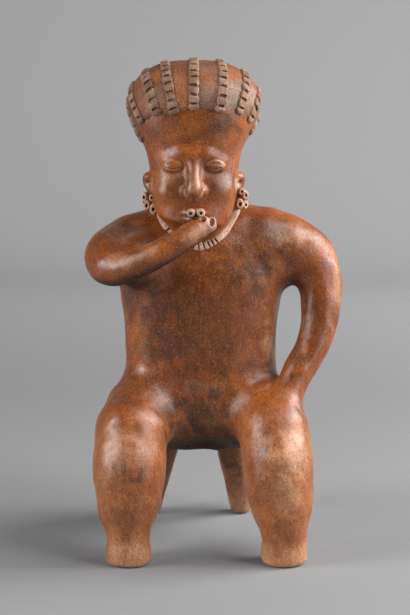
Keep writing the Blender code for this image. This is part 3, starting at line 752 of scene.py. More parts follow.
def skin(field, axes):
    """The field's zero level as an even net of faces, with its outward normals.

    The field is worked out on the coarse grid, then again near the surface on one twice as fine. The net's
    points are evened out and moved back to the level along the field's slope.
    """
    shape = tuple(len(axis) for axis in axes)
    coarse = field(grid_points(axes)).reshape(shape)
    reach = 0.8 * max(np.diff(axis).max() for axis in axes)
    values, axes = finer(coarse, axes)
    near = np.flatnonzero(np.abs(values) < reach)
    values.ravel()[near] = field(grid_points(axes, near))
    points, quads = zero_level(values, axes)
    for share in MOVES:
        points = relaxed(points, quads, share) if share else points
        gap, way = slope(field, points)
        steepness = np.maximum(np.einsum("ij,ij->i", way, way), 0.2)
        points = points - way * (np.clip(gap, -0.5, 0.5) / steepness)[:, None]
    _, way = slope(field, points)
    return points, quads, way / np.linalg.norm(way, axis=1)[:, None]


def axis_steps(*stretches):
    """Places along an axis from stretches of (start, end, spacing)."""
    parts = [np.linspace(a, b, round((b - a) / gap), endpoint=False) for a, b, gap in stretches]
    return np.concatenate([*parts, [stretches[-1][1]]])


def add_piece(name, points, faces, material):
    """A new piece, in metres, with its finish, riding on the figure."""
    mesh = bpy.data.meshes.new(name)
    mesh.from_pydata(placed(points), [], faces)
    mesh.update()
    mesh.validate()
    mesh.shade_smooth()
    mesh.materials.append(material)
    piece = bpy.data.objects.new(name, mesh)
    bpy.context.scene.collection.objects.link(piece)
    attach(piece, "root")
    return piece


def paint(piece, name, values):
    """Values at the piece's points, for its finish to read."""
    if values.ndim == 2:
        values = np.column_stack([values, np.ones(len(values))])
        piece.data.attributes.new(name, "FLOAT_COLOR", "POINT").data.foreach_set("color", values.ravel())
    else:
        piece.data.attributes.new(name, "FLOAT", "POINT").data.foreach_set("value", values)


def struck(field, start, ways, near=1.0, far=34.0):
    """Where ways out from a place inside the clay leave it, by halving the stretch between near and far."""
    low, high = np.full(len(ways), near), np.full(len(ways), far)
    for _ in range(26):
        middle = (low + high) / 2
        outside = field(start + ways * middle[:, None]) > 0
        high = np.where(outside, middle, high)
        low = np.where(outside, low, middle)
    return start + ways * low[:, None]


def comb_lines(numbers):
    """Front height, front tilt and crown tilt of the combed lines at these braid numbers, on a smooth curve
    through the braids' own rows and the hair's two side edges.
    """
    rows = smooth_rows((RIGHT_HAIR_EDGE, *BRAIDS, LEFT_HAIR_EDGE), 40)
    known = np.linspace(-1, len(BRAIDS), len(rows))
    return np.stack([np.interp(numbers, known, rows[:, i]) for i in range(3)], axis=-1)


def comb_ways(lines, turn):
    """Ways out from the fan's middle: (sin tilt sin turn, -cos turn, cos tilt sin turn).

    The turn goes from level at the front over the crown to level behind, in degrees. The tilt changes from
    the front's to the crown's over the BRAID_TURN degrees in front of the crown.
    """
    share = np.clip((90 - turn) / BRAID_TURN, 0, 1)
    tilt = np.radians(lines[..., 2] + (lines[..., 1] - lines[..., 2]) * share)
    turn = np.radians(turn) + 0 * tilt
    return np.stack([np.sin(tilt) * np.sin(turn), -np.cos(turn), np.cos(tilt) * np.sin(turn)], axis=-1)


def combed(numbers, steps):
    """Lines of points combed over the head, one to each braid number, from the hairline to the nape.

    It gives the points, their outward normals and the turns over the head, each as lines of steps.
    """
    lines = comb_lines(np.asarray(numbers, float))
    turns = np.linspace(14, 178, 165)
    ways = comb_ways(lines[:, None], turns[None])
    height = struck(head_form, FAN, ways.reshape(-1, 3)).reshape(ways.shape)[..., 2]
    above = height - np.where(turns < 90, lines[:, :1], BRAID_BACK_HEIGHT)
    row = np.arange(len(lines))
    first = (above > 0).argmax(axis=1)
    last = len(turns) - 1 - (above > 0)[:, ::-1].argmax(axis=1)
    ends = []
    for inner, outer in ((first, first - 1), (last, last + 1)):
        a, b = above[row, inner], above[row, outer]
        ends.append(turns[inner] + (turns[outer] - turns[inner]) * a / (a - b))
    turn = ends[0][:, None] + (ends[1] - ends[0])[:, None] * np.linspace(0, 1, steps)
    ways = comb_ways(lines[:, None], turn).reshape(-1, 3)
    points = struck(head_form, FAN, ways)
    _, normals = slope(head_form, points)
    normals /= np.linalg.norm(normals, axis=1)[:, None]
    return points.reshape(*turn.shape, 3), normals.reshape(*turn.shape, 3), turn


def facing_out(points, faces):
    """The faces, turned over if the space that they close would come out negative."""
    a, b, c, d = (points[faces[:, i]] for i in range(4))
    volume = np.einsum("ij,ij->", a, np.cross(b - a, c - a) + np.cross(c - a, d - a))
    return faces if volume > 0 else faces[:, ::-1]


def grid_faces(rows, columns, round_rows=False, round_columns=False):
    """Four-sided faces between the points of a grid, whose rows or columns may close into rings."""
    index = np.arange(rows * columns).reshape(rows, columns)
    index = np.vstack([index, index[:1]]) if round_rows else index
    index = np.hstack([index, index[:, :1]]) if round_columns else index
    corners = (index[:-1, :-1], index[1:, :-1], index[1:, 1:], index[:-1, 1:])
    return np.stack(corners, axis=-1).reshape(-1, 4)


def shell(outer, inner):
    """A closed skin of two grids of points and the band between their rims."""
    rows, columns = outer.shape[:2]
    count = rows * columns
    index = np.arange(count).reshape(rows, columns)
    rim = np.concatenate([index[0], index[1:, -1], index[-1, -2::-1], index[-2:0:-1, 0]])
    after = np.roll(rim, -1)
    faces = grid_faces(rows, columns)
    band = np.stack([after, rim, rim + count, after + count], axis=1)
    points = np.concatenate([outer.reshape(-1, 3), inner.reshape(-1, 3)])
    faces = np.vstack([faces, faces[:, ::-1] + count, band[:, ::-1]])
    return points, facing_out(points, faces)


def along(places, known, values):
    """Rows of values read off at places along a line."""
    places = np.asarray(places, float)
    return np.stack([np.interp(places, known, values[:, i]) for i in range(values.shape[1])], axis=-1)


def half_ring(sides, squareness):
    """Across and up of a raised band's section, from one foot over the top to the other: the upper half of
    |across|^n + up^n = 1, with a sunk point below each foot.
    """
    angle = np.linspace(0, np.pi, sides)
    across = -np.sign(np.cos(angle)) * np.abs(np.cos(angle)) ** (2 / squareness)
    up = np.sin(angle) ** (2 / squareness)
    up[[0, -1]] = 0
    return np.concatenate([[-1.0], across, [1.0]]), np.concatenate([[-1.0], up, [-1.0]])


def combed_hair():
    """The hair's cap: combed lines at every fraction of a braid number, raised in fine ridges.

    The rise is a step off the forehead plus half a cosine wave across the lines, whose height comes and
    goes along them.
    """
    numbers = np.linspace(-0.97, len(BRAIDS) - 0.03, COMB_LINES * LINES_PER_RIDGE)
    points, normals, turn = combed(numbers, HAIR_ROWS)
    sizes = bpy.context.scene.clay_sizes
    flat = points.reshape(-1, 3)
    worn = patches(flat, 9.0, 21, -0.9, 0.7).reshape(turn.shape)
    wave = numbers[:, None] / (len(BRAIDS) + 1) * COMB_LINES
    wave = wave + 0.35 * ripple(flat, 5.0, 22).reshape(turn.shape)
    ridge = (0.5 + 0.5 * np.cos(2 * np.pi * wave)) * worn * (0.7 + 0.3 * np.sin(wave * 2.4))
    row = np.linspace(0, 1, HAIR_ROWS)
    from_end = np.minimum(row, row[::-1])[None] * (turn[:, -1:] - turn[:, :1])
    from_side = np.minimum(numbers - numbers[0], numbers[-1] - numbers)[:, None] * 12
    lip = ramp(np.minimum(from_end, from_side), 0.0, 2.4)
    rise = lip * (0.08 + in_hundredths(sizes.hair_step) + ridge * in_hundredths(sizes.comb_depth)) - 0.08
    outer = points + normals * rise[..., None]
    inner = points - normals * 0.35
    values = np.concatenate([(ridge * lip).ravel(), np.zeros(ridge.size)])
    return (*shell(outer, inner), values)


def near_a_lobes_end(f, after, after_reach, before_reach, before):
    """1 within after of a lobe's start and within before of its end, fading to 0 at the two reaches."""
    return np.maximum(1 - ramp(f, after, after_reach), ramp(f, 1 - before_reach, 1 - before))


def braid(number, seed):
    """One braid's rings and the painted shade in its gashes and along its feet: a raised band along a combed
    line, in lobes with a gash across between each two.

    Along a lobe, f goes from 0 to 1. The half width is the braid's less a share of |2f-1|^3, the rise is
    vaulted by 4f(1-f), and the gash takes most of the rise where f is near 0 or 1, short of the edges.
    Behind the crown the gashes are shallow.
    """
    sizes = bpy.context.scene.clay_sizes
    rng = np.random.default_rng(seed)
    points, normals, turn = (part[0] for part in combed([number], BRAID_SPOTS))
    length = np.concatenate([[0], np.cumsum(np.linalg.norm(np.diff(points, axis=0), axis=1))])
    pitch = in_hundredths(sizes.braid_pitch)
    lobes = int(length[-1] // pitch)
    place = (np.arange(lobes)[:, None] + LOBE_SPOTS).ravel()
    lobe = np.repeat(np.arange(lobes), len(LOBE_SPOTS))
    f = np.tile(LOBE_SPOTS, lobes)
    share = rng.uniform(0.84, 1.16, lobes)
    share[0] = 0.72
    stretch = np.concatenate([[0], np.cumsum(share)])
    stretch *= length[-1] / stretch[-1]
    station = np.interp(place, np.arange(lobes + 1), stretch)
    carved = 1 - ramp(np.interp(station, length, turn), 96, 122)
    kept = 0.35 + 0.65 * carved
    across, up = half_ring(BRAID_SIDES, BRAID_SQUARENESS)
    edge = np.abs(2 * f - 1) ** 3
    wide = in_hundredths(sizes.braid_width) / 2 * (1 - 0.28 * edge * (0.4 + 0.6 * carved))
    wide *= 1 + 0.10 * np.interp(place, np.arange(lobes + 1), rng.uniform(-1, 1, lobes + 1))
    rise = in_hundredths(sizes.braid_rise) * (0.84 + 0.16 * 4 * f * (1 - f)) * (0.62 + 0.38 * carved)
    rise *= 1 + 0.16 * rng.uniform(-1, 1, lobes)[lobe]
    end = np.clip(np.minimum(station, length[-1] - station) / 0.9, 0, 1)
    close = np.sqrt(end * (2 - end))
    wide, rise = wide * (0.35 + 0.65 * close), rise * close
    gash = near_a_lobes_end(f, 0.05, 0.13, 0.26, 0.03) * kept
    gash = gash * ((place > 0.5) & (place < lobes - 0.5))
    bow = np.sqrt(np.clip(1 - (across / 0.86) ** 2, 0.02, 1)) * rng.uniform(0.85, 1.35, lobes)[lobe][:, None]
    inside = (1 - ramp(np.abs(across), 0.66, 0.88))[None] * (gash > 0)[:, None] * kept[:, None]
    depth = 0.92 * near_a_lobes_end(f[:, None], 0.05 * bow, 0.14 * bow, 0.28 * bow, 0.06 * bow) * inside
    shaded = near_a_lobes_end(f[:, None], 0.08 * bow, 0.15 * bow, 0.18 * bow, 0.05 * bow) * inside
    slant = np.interp(place, np.arange(lobes + 1), rng.uniform(-0.35, 0.35, lobes + 1))
    shift = slant[:, None] * wide[:, None] * across * gash[:, None]
    shifted = np.clip(station[:, None] + shift, 0, length[-1])
    spine, facing = along(shifted, length, points), along(shifted, length, normals)
    facing /= np.linalg.norm(facing, axis=2)[..., None]
    ahead = np.gradient(along(station, length, points), axis=0)
    side = np.cross(facing, ahead[:, None])
    side /= np.linalg.norm(side, axis=2)[..., None]
    lift = np.where(up < 0, -0.5, up * rise[:, None] * (1 - depth))
    rings = spine + side * (across * wide[:, None])[..., None] + facing * lift[..., None]
    return rings, np.where(up < 0, 1.0, shaded)


def tube_faces(rings):
    """The faces of a row of closed rings, with a strip of four-sided faces over each end."""
    rows, around = rings.shape[:2]
    faces = [grid_faces(rows, around, round_columns=True)]
    for start, turned in ((0, True), ((rows - 1) * around, False)):
        low = start + np.arange(around // 2)
        high = start + around - 1 - np.arange(around // 2)
        end = np.stack([low[:-1], low[1:], high[1:], high[:-1]], axis=1)
        faces.append(end[:, ::-1] if turned else end)
    return facing_out(rings.reshape(-1, 3), np.vstack(faces))


def gathered(tubes):
    """Pairs of rings and their painted shade, as the points, faces and painted shade of one piece."""
    points, faces, painted_shades, count = [], [], [], 0
    for rings, painted_shade in tubes:
        points.append(rings.reshape(-1, 3))
        faces.append(tube_faces(rings) + count)
        painted_shades.append(painted_shade.ravel())
        count += len(points[-1])
    return np.vstack(points), np.vstack(faces), np.concatenate(painted_shades)


def necklace():
    """The necklace: a raised band round the foot of the neck, cut across by notches at the front, with
    painted shade in the notches and along its feet.

    Its middle line is where ways out and up at 45 degrees from the neck's middle leave the shoulders.
    """
    sizes = bpy.context.scene.clay_sizes
    turn = np.radians(np.arange(0, 360, 0.6))
    out = np.stack([np.sin(turn), -np.cos(turn), np.ones_like(turn)], axis=1) / math.sqrt(2)
    start = np.column_stack([np.tile(NECKLACE_MIDDLE, (len(turn), 1)), necklace_aim(turn)])
    form = lambda places: trunk(places) + SKIN_DRAW
    spine = struck(form, start, out, near=2.0, far=22.0)
    _, facing = slope(form, spine)
    reach = 20
    weights = np.hanning(2 * reach + 1)
    for values in (spine, facing):
        for i in range(3):
            wrapped = np.concatenate([values[-reach:, i], values[:, i], values[:reach, i]])
            values[:, i] = np.convolve(wrapped, weights / weights.sum(), "valid")
    facing /= np.linalg.norm(facing, axis=1)[:, None]
    ahead = np.roll(spine, -1, axis=0) - np.roll(spine, 1, axis=0)
    side = np.cross(facing, ahead)
    side /= np.linalg.norm(side, axis=1)[:, None]
    degrees = (np.degrees(turn) + 180) % 360 - 180
    away = np.abs(degrees[:, None] - np.array(NECKLACE_NOTCHES)).min(axis=1)
    notch = 1 - ramp(away, 0.55, 1.35)
    across, up = half_ring(NECKLACE_SIDES, NECKLACE_SQUARENESS)
    swell = 1 + 0.10 * np.sin(3 * turn + 1) + 0.06 * np.sin(11 * turn)
    wide = in_hundredths(sizes.necklace_width) / 2 * (swell - 0.10 * notch)
    rise = in_hundredths(sizes.necklace_rise) * swell
    cut = notch[:, None] * (1 - 0.6 * ramp(np.abs(across), 0.8, 1.0))
    lift = np.where(up < 0, -0.6, up * rise[:, None] * (1 - 0.8 * cut))
    rings = spine[:, None] + side[:, None] * (across * wide[:, None])[..., None]
    points = (rings + facing[:, None] * lift[..., None]).reshape(-1, 3)
    faces = grid_faces(*rings.shape[:2], round_rows=True, round_columns=True)
    return points, facing_out(points, faces), np.where(up < 0, 1.0, cut).ravel()


def pellet(x, y, z, outward, tall, size):
    """A pierced pellet's rings and the painted shade in its hole: a profile turned round a way out of the
    clay, and drawn out upwards.

    The profile runs from the pressed-on back over the round side and the face, down into the hole.
    """
    sizes = bpy.context.scene.clay_sizes
    radius, hole = in_hundredths(sizes.bead_radius) * size, in_hundredths(sizes.bead_hole) * size
    rise = in_hundredths(sizes.bead_rise) * size
    bend = np.linspace(0, np.pi / 2, 8)[:-1]
    side = np.stack([radius - (radius - hole) * 0.62 * (1 - np.cos(bend)), rise * np.sin(bend)], axis=1)
    back = [(0.02, -rise), (radius * 0.8, -rise), (radius, -rise * 0.6)]
    rim = [(hole * 1.25, rise * 0.99)]
    inside = [(hole, rise * 0.86), (hole * 0.85, rise * 0.2), (0.02, rise * 0.1)]
    profile = np.vstack([back, side, rim, inside])
    angle = np.linspace(0, 2 * np.pi, PELLET_SIDES, endpoint=False)
    facing = np.array((outward, -1.0, 0.0)) / math.hypot(outward, 1.0)
    level = np.cross((0, 0, 1), facing)
    ring = np.cos(angle)[:, None] * level + np.sin(angle)[:, None] * np.array((0, 0, tall))
    rings = np.array((x, y, z)) + profile[:, :1, None] * ring + profile[:, 1:, None] * facing
    painted_shade = np.arange(len(profile)) >= len(profile) - len(inside)
    return rings, np.repeat(painted_shade.astype(float), len(angle))


def in_hundredths(metres):
    """A size in metres as hundredths of the figure's height."""
    return metres / HUNDREDTH


def tone(name):
    """One of the clay's colours."""
    return np.array(getattr(bpy.context.scene.clay_colours, name))


def mixed(tint, *layers):
    """The tint with the clay's colours laid over it in order, each by its name and a share at each point."""
    for name, share in layers:
        share = np.broadcast_to(share, len(tint))
        tint = tint + share[:, None] * (tone(name) - tint)
    return tint


def fired(points):
    """The slip's own colour as it came from the fire: red, going to orange and to brown in slow clouds."""
    return mixed(
        np.tile(tone("red"), (len(points), 1)),
        ("orange", 0.50 * patches(points, 11.0, 51, -0.4, 1.5)),
        ("brown_and_shade", 0.45 * patches(points, 9.0, 52, 0.2, 1.7)),
        ("brown_and_shade", 0.22 * patches(points, 3.4, 53, 0.3, 1.8)),
        ("orange", 0.30 * patches(points, 2.6, 54, 0.5, 2.0)),
    )


def blotted(tint, points, normals, rows):
    """The tint with its blots: each fades out from its middle to an uneven edge, on the front only."""
    wobble = 0.22 * ripple(points, 3.4, 61) + 0.14 * ripple(points, 1.3, 62)
    front = ramp(-normals[:, 1], -0.35, 0.15)
    for x, height, wide, tall, name, strength in rows:
        aside = np.hypot(points[:, 0] - x, points[:, 2] - height)
        foremost = points[aside < aside.min() + 0.5, 1].min()
        off = (points - (x, foremost, height)) / (wide, 1.4 * max(wide, tall), tall)
        gap = np.linalg.norm(off, axis=1) + wobble
        tint = mixed(tint, (name, strength * front * (1 - ramp(gap, 0.25, 1.35))))
    return tint


def hollows(points, normals, field, reach):
    """How hollow the clay is round each point, from 0: how much nearer than reach the clay still is, that
    far out from the skin.
    """
    return np.clip(1 - field(points + normals * reach) / reach, 0, 1)


def bulges(points, normals, field, reach):
    """How much the clay stands out at each point, from 0: how much nearer than reach the air is, that far
    in.
    """
    return np.clip(1 + field(points - normals * reach) / reach, 0, 1)


def own_normals(piece):
    """The mesh's normals at its points."""
    normals = np.empty(len(piece.data.vertices) * 3, np.float32)
    piece.data.vertex_normals.foreach_get("vector", normals)
    return normals.reshape(-1, 3).astype(float)


def clay_finish(name, grain=1.0, roughness=0.33):
    """Burnished clay: the painted tint, mottled and speckled, with a satin face that is rougher in dust.

    The mottling is noise at three sizes that multiplies the tint, the specks and pits are the peaks of two
    fine noises, and the bump is fine grain with the strokes of the burnishing stone across it.
    """
    made = bpy.data.materials.get(name)
    if made:
        return made
    finish = bpy.context.scene.clay_colours
    made = bpy.data.materials.new(name)
    made.use_nodes = True
    nodes, links = made.node_tree.nodes, made.node_tree.links
    shader = nodes["Principled BSDF"]
    place = nodes.new("ShaderNodeTexCoord").outputs["Object"]

    def node(kind, output, inputs, **settings):
        """The output of a new node, whose inputs are numbers, colours or other nodes' outputs."""
        found = nodes.new("ShaderNode" + kind)
        for name, value in settings.items():
            setattr(found, name, value)
        for name, value in inputs.items():
            if isinstance(value, (float, tuple)):
                found.inputs[name].default_value = value
            else:
                links.new(value, found.inputs[name])
        return found.outputs[output]

    def noise(size, detail, stretch=(1, 1, 1), distortion=0.0):
        """Noise whose lumps are about size metres across, drawn out along an axis by stretch."""
        scale = tuple(1 / share for share in stretch)
        turned = node("Mapping", "Vector", {"Vector": place, "Scale": scale})
        inputs = {"Vector": turned, "Scale": 1 / size, "Detail": detail, "Distortion": distortion}
        return node("TexNoise", "Fac", inputs)

    def spread(value, to_low, to_high, low=0.3, high=0.7):
        """The value's range from low to high, which is most of a noise's, stretched to another."""
        ends = {"From Min": low, "From Max": high, "To Min": to_low, "To Max": to_high}
        return node("MapRange", "Result", {"Value": value, **ends})

    def maths(kind, first, second):
        return node("Math", "Value", {0: first, 1: second}, operation=kind)

    def blend(kind, share, first, second):
        inputs = {"Factor": share, "A": first, "B": second}
        return node("Mix", "Result", inputs, data_type="RGBA", blend_type=kind)

    def bump(height, strength, distance, **under):
        inputs = {"Height": height, "Strength": strength, "Distance": distance, **under}
        return node("Bump", "Normal", inputs)

    clouds = spread(noise(0.016, 4.0, distortion=0.6), 0.86, 1.14)
    mottle = spread(noise(0.0022, 4.0), 0.70, 1.30)
    strokes = noise(0.0030, 3.0, stretch=(1, 1, 5))
    shade = maths("MULTIPLY", maths("MULTIPLY", clouds, mottle), spread(strokes, 0.86, 1.14))
    grey = node("CombineColor", "Color", dict.fromkeys(("Red", "Green", "Blue"), shade))
    colour = blend("MULTIPLY", 1.0, node("Attribute", "Color", {}, attribute_name="tint"), grey)
    specks = spread(noise(0.0011, 1.0), 0.0, 0.32, 0.60, 0.72)
    colour = blend("MIX", specks, colour, (*finish.pale, 1.0))
    pits = spread(noise(0.0018, 1.0, stretch=(1.3, 1, 1)), 0.0, 0.50, 0.61, 0.74)
    colour = blend("MIX", pits, colour, (*finish.grime_and_shade, 1.0))
    links.new(colour, shader.inputs["Base Color"])

    matt = maths("MULTIPLY", node("Attribute", "Fac", {}, attribute_name="matt"), 0.34)
    rough = maths("ADD", matt, spread(noise(0.006, 3.0), roughness - 0.06, roughness + 0.08))
    links.new(maths("ADD", rough, maths("MULTIPLY", pits, 0.2)), shader.inputs["Roughness"])
    shader.inputs["Specular IOR Level"].default_value = finish.gloss

    stroked = bump(strokes, 0.35, 0.0004)
    links.new(bump(noise(0.0012, 3.0), 0.5 * grain, 0.0005, Normal=stroked), shader.inputs["Normal"])
    return made


def finished(piece, tint, matt):
    """Paints on a piece its tint and how matt it is, from 0 to 1."""
    paint(piece, "tint", tint)
    paint(piece, "matt", np.clip(matt, 0, 1) * np.ones(len(tint)))


class CLAYFIGURE_OT_body(bpy.types.Operator):
    """Builds the torso, arms, legs and seat as one skin"""

    bl_idname = "clay_figure.body"
    bl_label = "Body"

    def execute(self, context):
        axes = (
            axis_steps((-27.5, -4.4, 0.85), (-4.4, 1.6, 0.36), (1.6, 28.0, 0.85)),
            axis_steps((-23.4, -16.6, 0.85), (-16.6, -13.0, 0.36), (-13.0, 21.8, 0.85)),
            axis_steps((-1.4, 67.2, 0.85), (67.2, 70.8, 0.36), (70.8, 74.0, 0.85)),
        )
        points, quads, normals = skin(body_field, axes)
        body = add_piece("clay_body", points, quads, clay_finish("smooth_clay"))
        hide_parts(NODE)
        height = points[:, 2]
        deep = sum(0.5 * hollows(points, normals, body_field, reach) for reach in (1.0, 3.0))
        high = bulges(points, normals, body_field, 1.6)
        legs = 1 - ramp(height, 24.0, 34.0)
        feet = 1 - ramp(height, 0.4, 6.2 + 1.5 * ripple(points, 4.0, 71))
        # the rear legs under the seat, darkened below as painted shade
        shaded_rear_legs = ramp(points[:, 1], 8.5, 11.5) * (1 - ramp(height, 15.0, 20.0))
        crotch = 1 - ramp(np.abs(ball(points, CROTCH[:3], CROTCH[3:])), 0.3, 1.0)
        # the undersides and the hollow under the seat's front, darkened below as painted shade
        under = np.maximum(
            ramp(-normals[:, 2], 0.35, 0.9) * ramp(height, 4.0, 12.0), crotch * ramp(height, 17.0, 18.4)
        )
        tint = mixed(fired(points), ("orange", 0.36 * legs), ("tan", 0.14 * legs))
        tint = mixed(
            blotted(tint, points, normals, BODY_BLOTS),
            ("tan", 0.75 * feet),
            ("tan", 0.5 * ramp(high, 0.30, 0.75)),
            # painted shade: rear legs under the seat browner, hollows darker with dirt, undersides and the
            # hollow under the seat nearly black
            ("brown_and_shade", 0.50 * shaded_rear_legs),
            ("grime_and_shade", 0.85 * ramp(deep, 0.30, 0.85)),
            ("grime_and_shade", 0.88 * under),
        )
        matt = 0.9 * ramp(deep, 0.3, 0.8) + 0.9 * under + 0.3 * patches(points, 5.0, 72, 0.3, 1.6)
        finished(body, tint, matt)
        return {"FINISHED"}


class CLAYFIGURE_OT_head(bpy.types.Operator):
    """Builds the head, the face and the ears as one skin"""

    bl_idname = "clay_figure.head"
    bl_label = "Head"

    def execute(self, context):
        axes = (
            axis_steps((-18.4, -13.6, 0.62), (-13.6, 5.6, 0.31), (5.6, 10.4, 0.62)),
            axis_steps((-17.2, -7.6, 0.31), (-7.6, 11.6, 0.62)),
            axis_steps((52.8, 63.6, 0.62), (63.6, 84.0, 0.31), (84.0, 100.8, 0.62)),
        )
        lids, slits = [], [on_front(face_form, MOUTH_SLIT)]
        for side in (-1, 1):
            at = np.array((HEAD_MIDDLE + side * EYE_SPREAD, EYE_HEIGHT, 0.0))
            slits.append(on_front(face_form, at + EYE_SLIT))
            lids.append(on_front(face_form, at + LID_EDGE))
        field = lambda places: head_field(places, lids, slits)
        points, quads, normals = skin(field, axes)
        head = add_piece("clay_head", points, quads, clay_finish("smooth_clay"))
        deep = 0.6 * hollows(points, normals, field, 0.5) + 0.4 * hollows(points, normals, field, 1.6)
        high = bulges(points, normals, field, 0.7)
        tint = blotted(fired(points), points, normals, HEAD_BLOTS)
        # the hollows are darkened with dirt and painted shade
        worn, dirt_and_shade = 0.45 * ramp(high, 0.25, 0.7), 0.85 * ramp(deep, 0.22, 0.70)
        finished(head, mixed(tint, ("tan", worn), ("grime_and_shade", dirt_and_shade)), 0.9 * ramp(deep, 0.2, 0.6))
        return {"FINISHED"}


class CLAYFIGURE_OT_hair(bpy.types.Operator):
    """Builds the cap of combed hair"""

    bl_idname = "clay_figure.hair"
    bl_label = "Combed Hair"

    def execute(self, context):
        points, faces, ridge = combed_hair()
        hair = add_piece("combed_hair", points, faces, clay_finish("combed_clay", 1.4, 0.50))
        tint = mixed(
            fired(points),
            ("orange", 0.15),
            ("brown_and_shade", 0.20 + 0.30 * patches(points, 5.0, 86, -0.8, 1.2)),
            ("dust_and_highlight", 0.06 + 0.20 * patches(points, 6.0, 81, -0.6, 1.4)),
        )
        tint = blotted(tint, points, own_normals(hair), HAIR_BLOTS)
        # the grooves between the ridges are darker
        finished(hair, mixed(tint, ("grime_and_shade", 0.30 * (1 - ramp(ridge, 0.02, 0.5)))), 0.5)
        return {"FINISHED"}


class CLAYFIGURE_OT_braids(bpy.types.Operator):
    """Builds the nine braids"""

    bl_idname = "clay_figure.braids"
    bl_label = "Braids"

    def execute(self, context):
        points, faces, painted_shade = gathered(braid(number, 40 + number) for number in range(len(BRAIDS)))
        braids = add_piece("braids", points, faces, clay_finish("braid_clay", 1.6, 0.58))
        tint = mixed(
            fired(points),
            ("brown_and_shade", 0.4),
            ("dust_and_highlight", 0.45 + 0.35 * patches(points, 2.4, 82, -0.8, 1.2)),
            ("brown_and_shade", 0.45 * patches(points, 4.0, 83, 0.0, 1.4)),
            # painted shade in the gashes and along the braids' feet
            ("grime_and_shade", 0.90 * ramp(painted_shade, 0.10, 0.75)),
        )
        finished(braids, tint, 0.7)
        return {"FINISHED"}


class CLAYFIGURE_OT_necklace(bpy.types.Operator):
    """Builds the notched necklace"""

    bl_idname = "clay_figure.necklace"
    bl_label = "Necklace"

    def execute(self, context):
        points, faces, painted_shade = necklace()
        band = add_piece("necklace", points, faces, clay_finish("ornament_clay", 1.5, 0.52))
        tint = mixed(
            fired(points),
            ("pale", 0.58 + 0.3 * patches(points, 4.0, 84, -0.6, 1.2)),
            ("brown_and_shade", 0.45 * ramp(points[:, 1], -4.0, 3.0)),
            # painted shade in the notches and along the band's feet
            ("grime_and_shade", 0.80 * ramp(painted_shade, 0.25, 0.9)),
        )
        finished(band, tint, 0.6)
        return {"FINISHED"}


class CLAYFIGURE_OT_pellets(bpy.types.Operator):
    """Builds the pierced pellets of the nose and ear ornaments"""

    bl_idname = "clay_figure.pellets"
    bl_label = "Pierced Pellets"

    def execute(self, context):
        for name, rows in (("nose_ornament", NOSE_PELLETS), ("ear_ornaments", EAR_PELLETS)):
            points, faces, painted_shade = gathered(pellet(*row) for row in rows)
            ornament = add_piece(name, points, faces, clay_finish("ornament_clay", 1.5, 0.52))
            pale = 0.55 + 0.3 * patches(points, 2.0, 85, -0.8, 1.2)
            # painted shade inside the holes
            finished(ornament, mixed(fired(points), ("pale", pale), ("grime_and_shade", 0.95 * painted_shade)), 0.5)
        return {"FINISHED"}


def size_property(name, description, default):
    """A length in metres."""
    return FloatProperty(name=name, description=description, default=default, unit="LENGTH")


class ClaySizes(bpy.types.PropertyGroup):
    """Sizes of the laid-on clay"""

    hair_step: size_property("Hair step", "Height of the hair over the forehead", 0.0008)
    comb_depth: size_property("Comb depth", "Depth of the combed lines", 0.0003)
    braid_width: size_property("Braid width", "Width of a braid", 0.0105)
    braid_rise: size_property("Braid rise", "Height of a braid over the hair", 0.0031)
    braid_pitch: size_property("Braid pitch", "Length of one lobe of a braid", 0.0094)
    necklace_width: size_property("Necklace width", "Width of the necklace's band", 0.0135)
    necklace_rise: size_property("Necklace rise", "Height of the band over the neck", 0.0026)
    bead_radius: size_property("Pellet radius", "Half the width of a pellet", 0.0038)
    bead_hole: size_property("Hole radius", "Half the width of a pellet's hole", 0.0012)
    bead_rise: size_property("Pellet rise", "Half the thickness of a pellet", 0.0026)


def colour_property(name, description, default):
    """A colour that the clay's finish uses."""
    return FloatVectorProperty(
        name=name, description=description, default=default, subtype="COLOR", size=3, min=0, max=1)


class ClayColours(bpy.types.PropertyGroup):
    """Colours and gloss of the fired clay, some of which also serve as painted shade and painted highlights
    """

    red: colour_property("Red slip", "Burnished slip as it was fired", (0.190, 0.044, 0.007))
    orange: colour_property("Orange", "Slip that was fired with more air", (0.330, 0.092, 0.012))
    # Brown colours smoke-browned slip, and is also painted shade on the rear legs under the seat and beside
    # the armpit
    brown_and_shade: colour_property("Brown", "Slip browned by smoke", (0.082, 0.027, 0.008))
    # Smoke colours fire clouds, and is also painted shade between the legs, under the seat and in a few
    # creases
    smoke_and_shade: colour_property("Smoke", "Fire clouds", (0.036, 0.020, 0.013))
    # Tan colours worn clay, and is also painted highlights on the shoulder, elbow, arm edges, knees, shins,
    # feet and nose
    tan: colour_property("Tan", "Clay where the slip has worn off", (0.500, 0.250, 0.130))
    # Dust colours grey earth, and is also a painted highlight on the shoulder at +X
    dust_and_highlight: colour_property("Dust", "Grey earth left on the hair", (0.290, 0.190, 0.135))
    # Grime colours dirt and pits, and is also painted shade in hollows, holes, gashes, notches and under the
    # clay
    grime_and_shade: colour_property("Grime", "Dirt in holes and hollows", (0.018, 0.010, 0.006))
    pale: colour_property("Pale", "Grit and worn edges", (0.520, 0.330, 0.230))
    gloss: FloatProperty(
        name="Gloss", description="Strength of the burnished face's highlights", default=0.48, min=0, max=1)


def power_property(name, description, default):
    """A light's power in watts."""
    return FloatProperty(name=name, description=description, default=default, unit="POWER")


class StageLight(bpy.types.PropertyGroup):
    """Light and floor round the figure"""

    key: power_property("Key", "Power of the large light on the right", 78)
    front: power_property("Front", "Power of the small light on the right in front", 24)
    fill: power_property("Fill", "Power of the light on the left", 48)
    top: power_property("Top", "Power of the light above on the right", 22)
    paper: colour_property("Paper", "Colour of the floor and backdrop", (0.208, 0.208, 0.212))


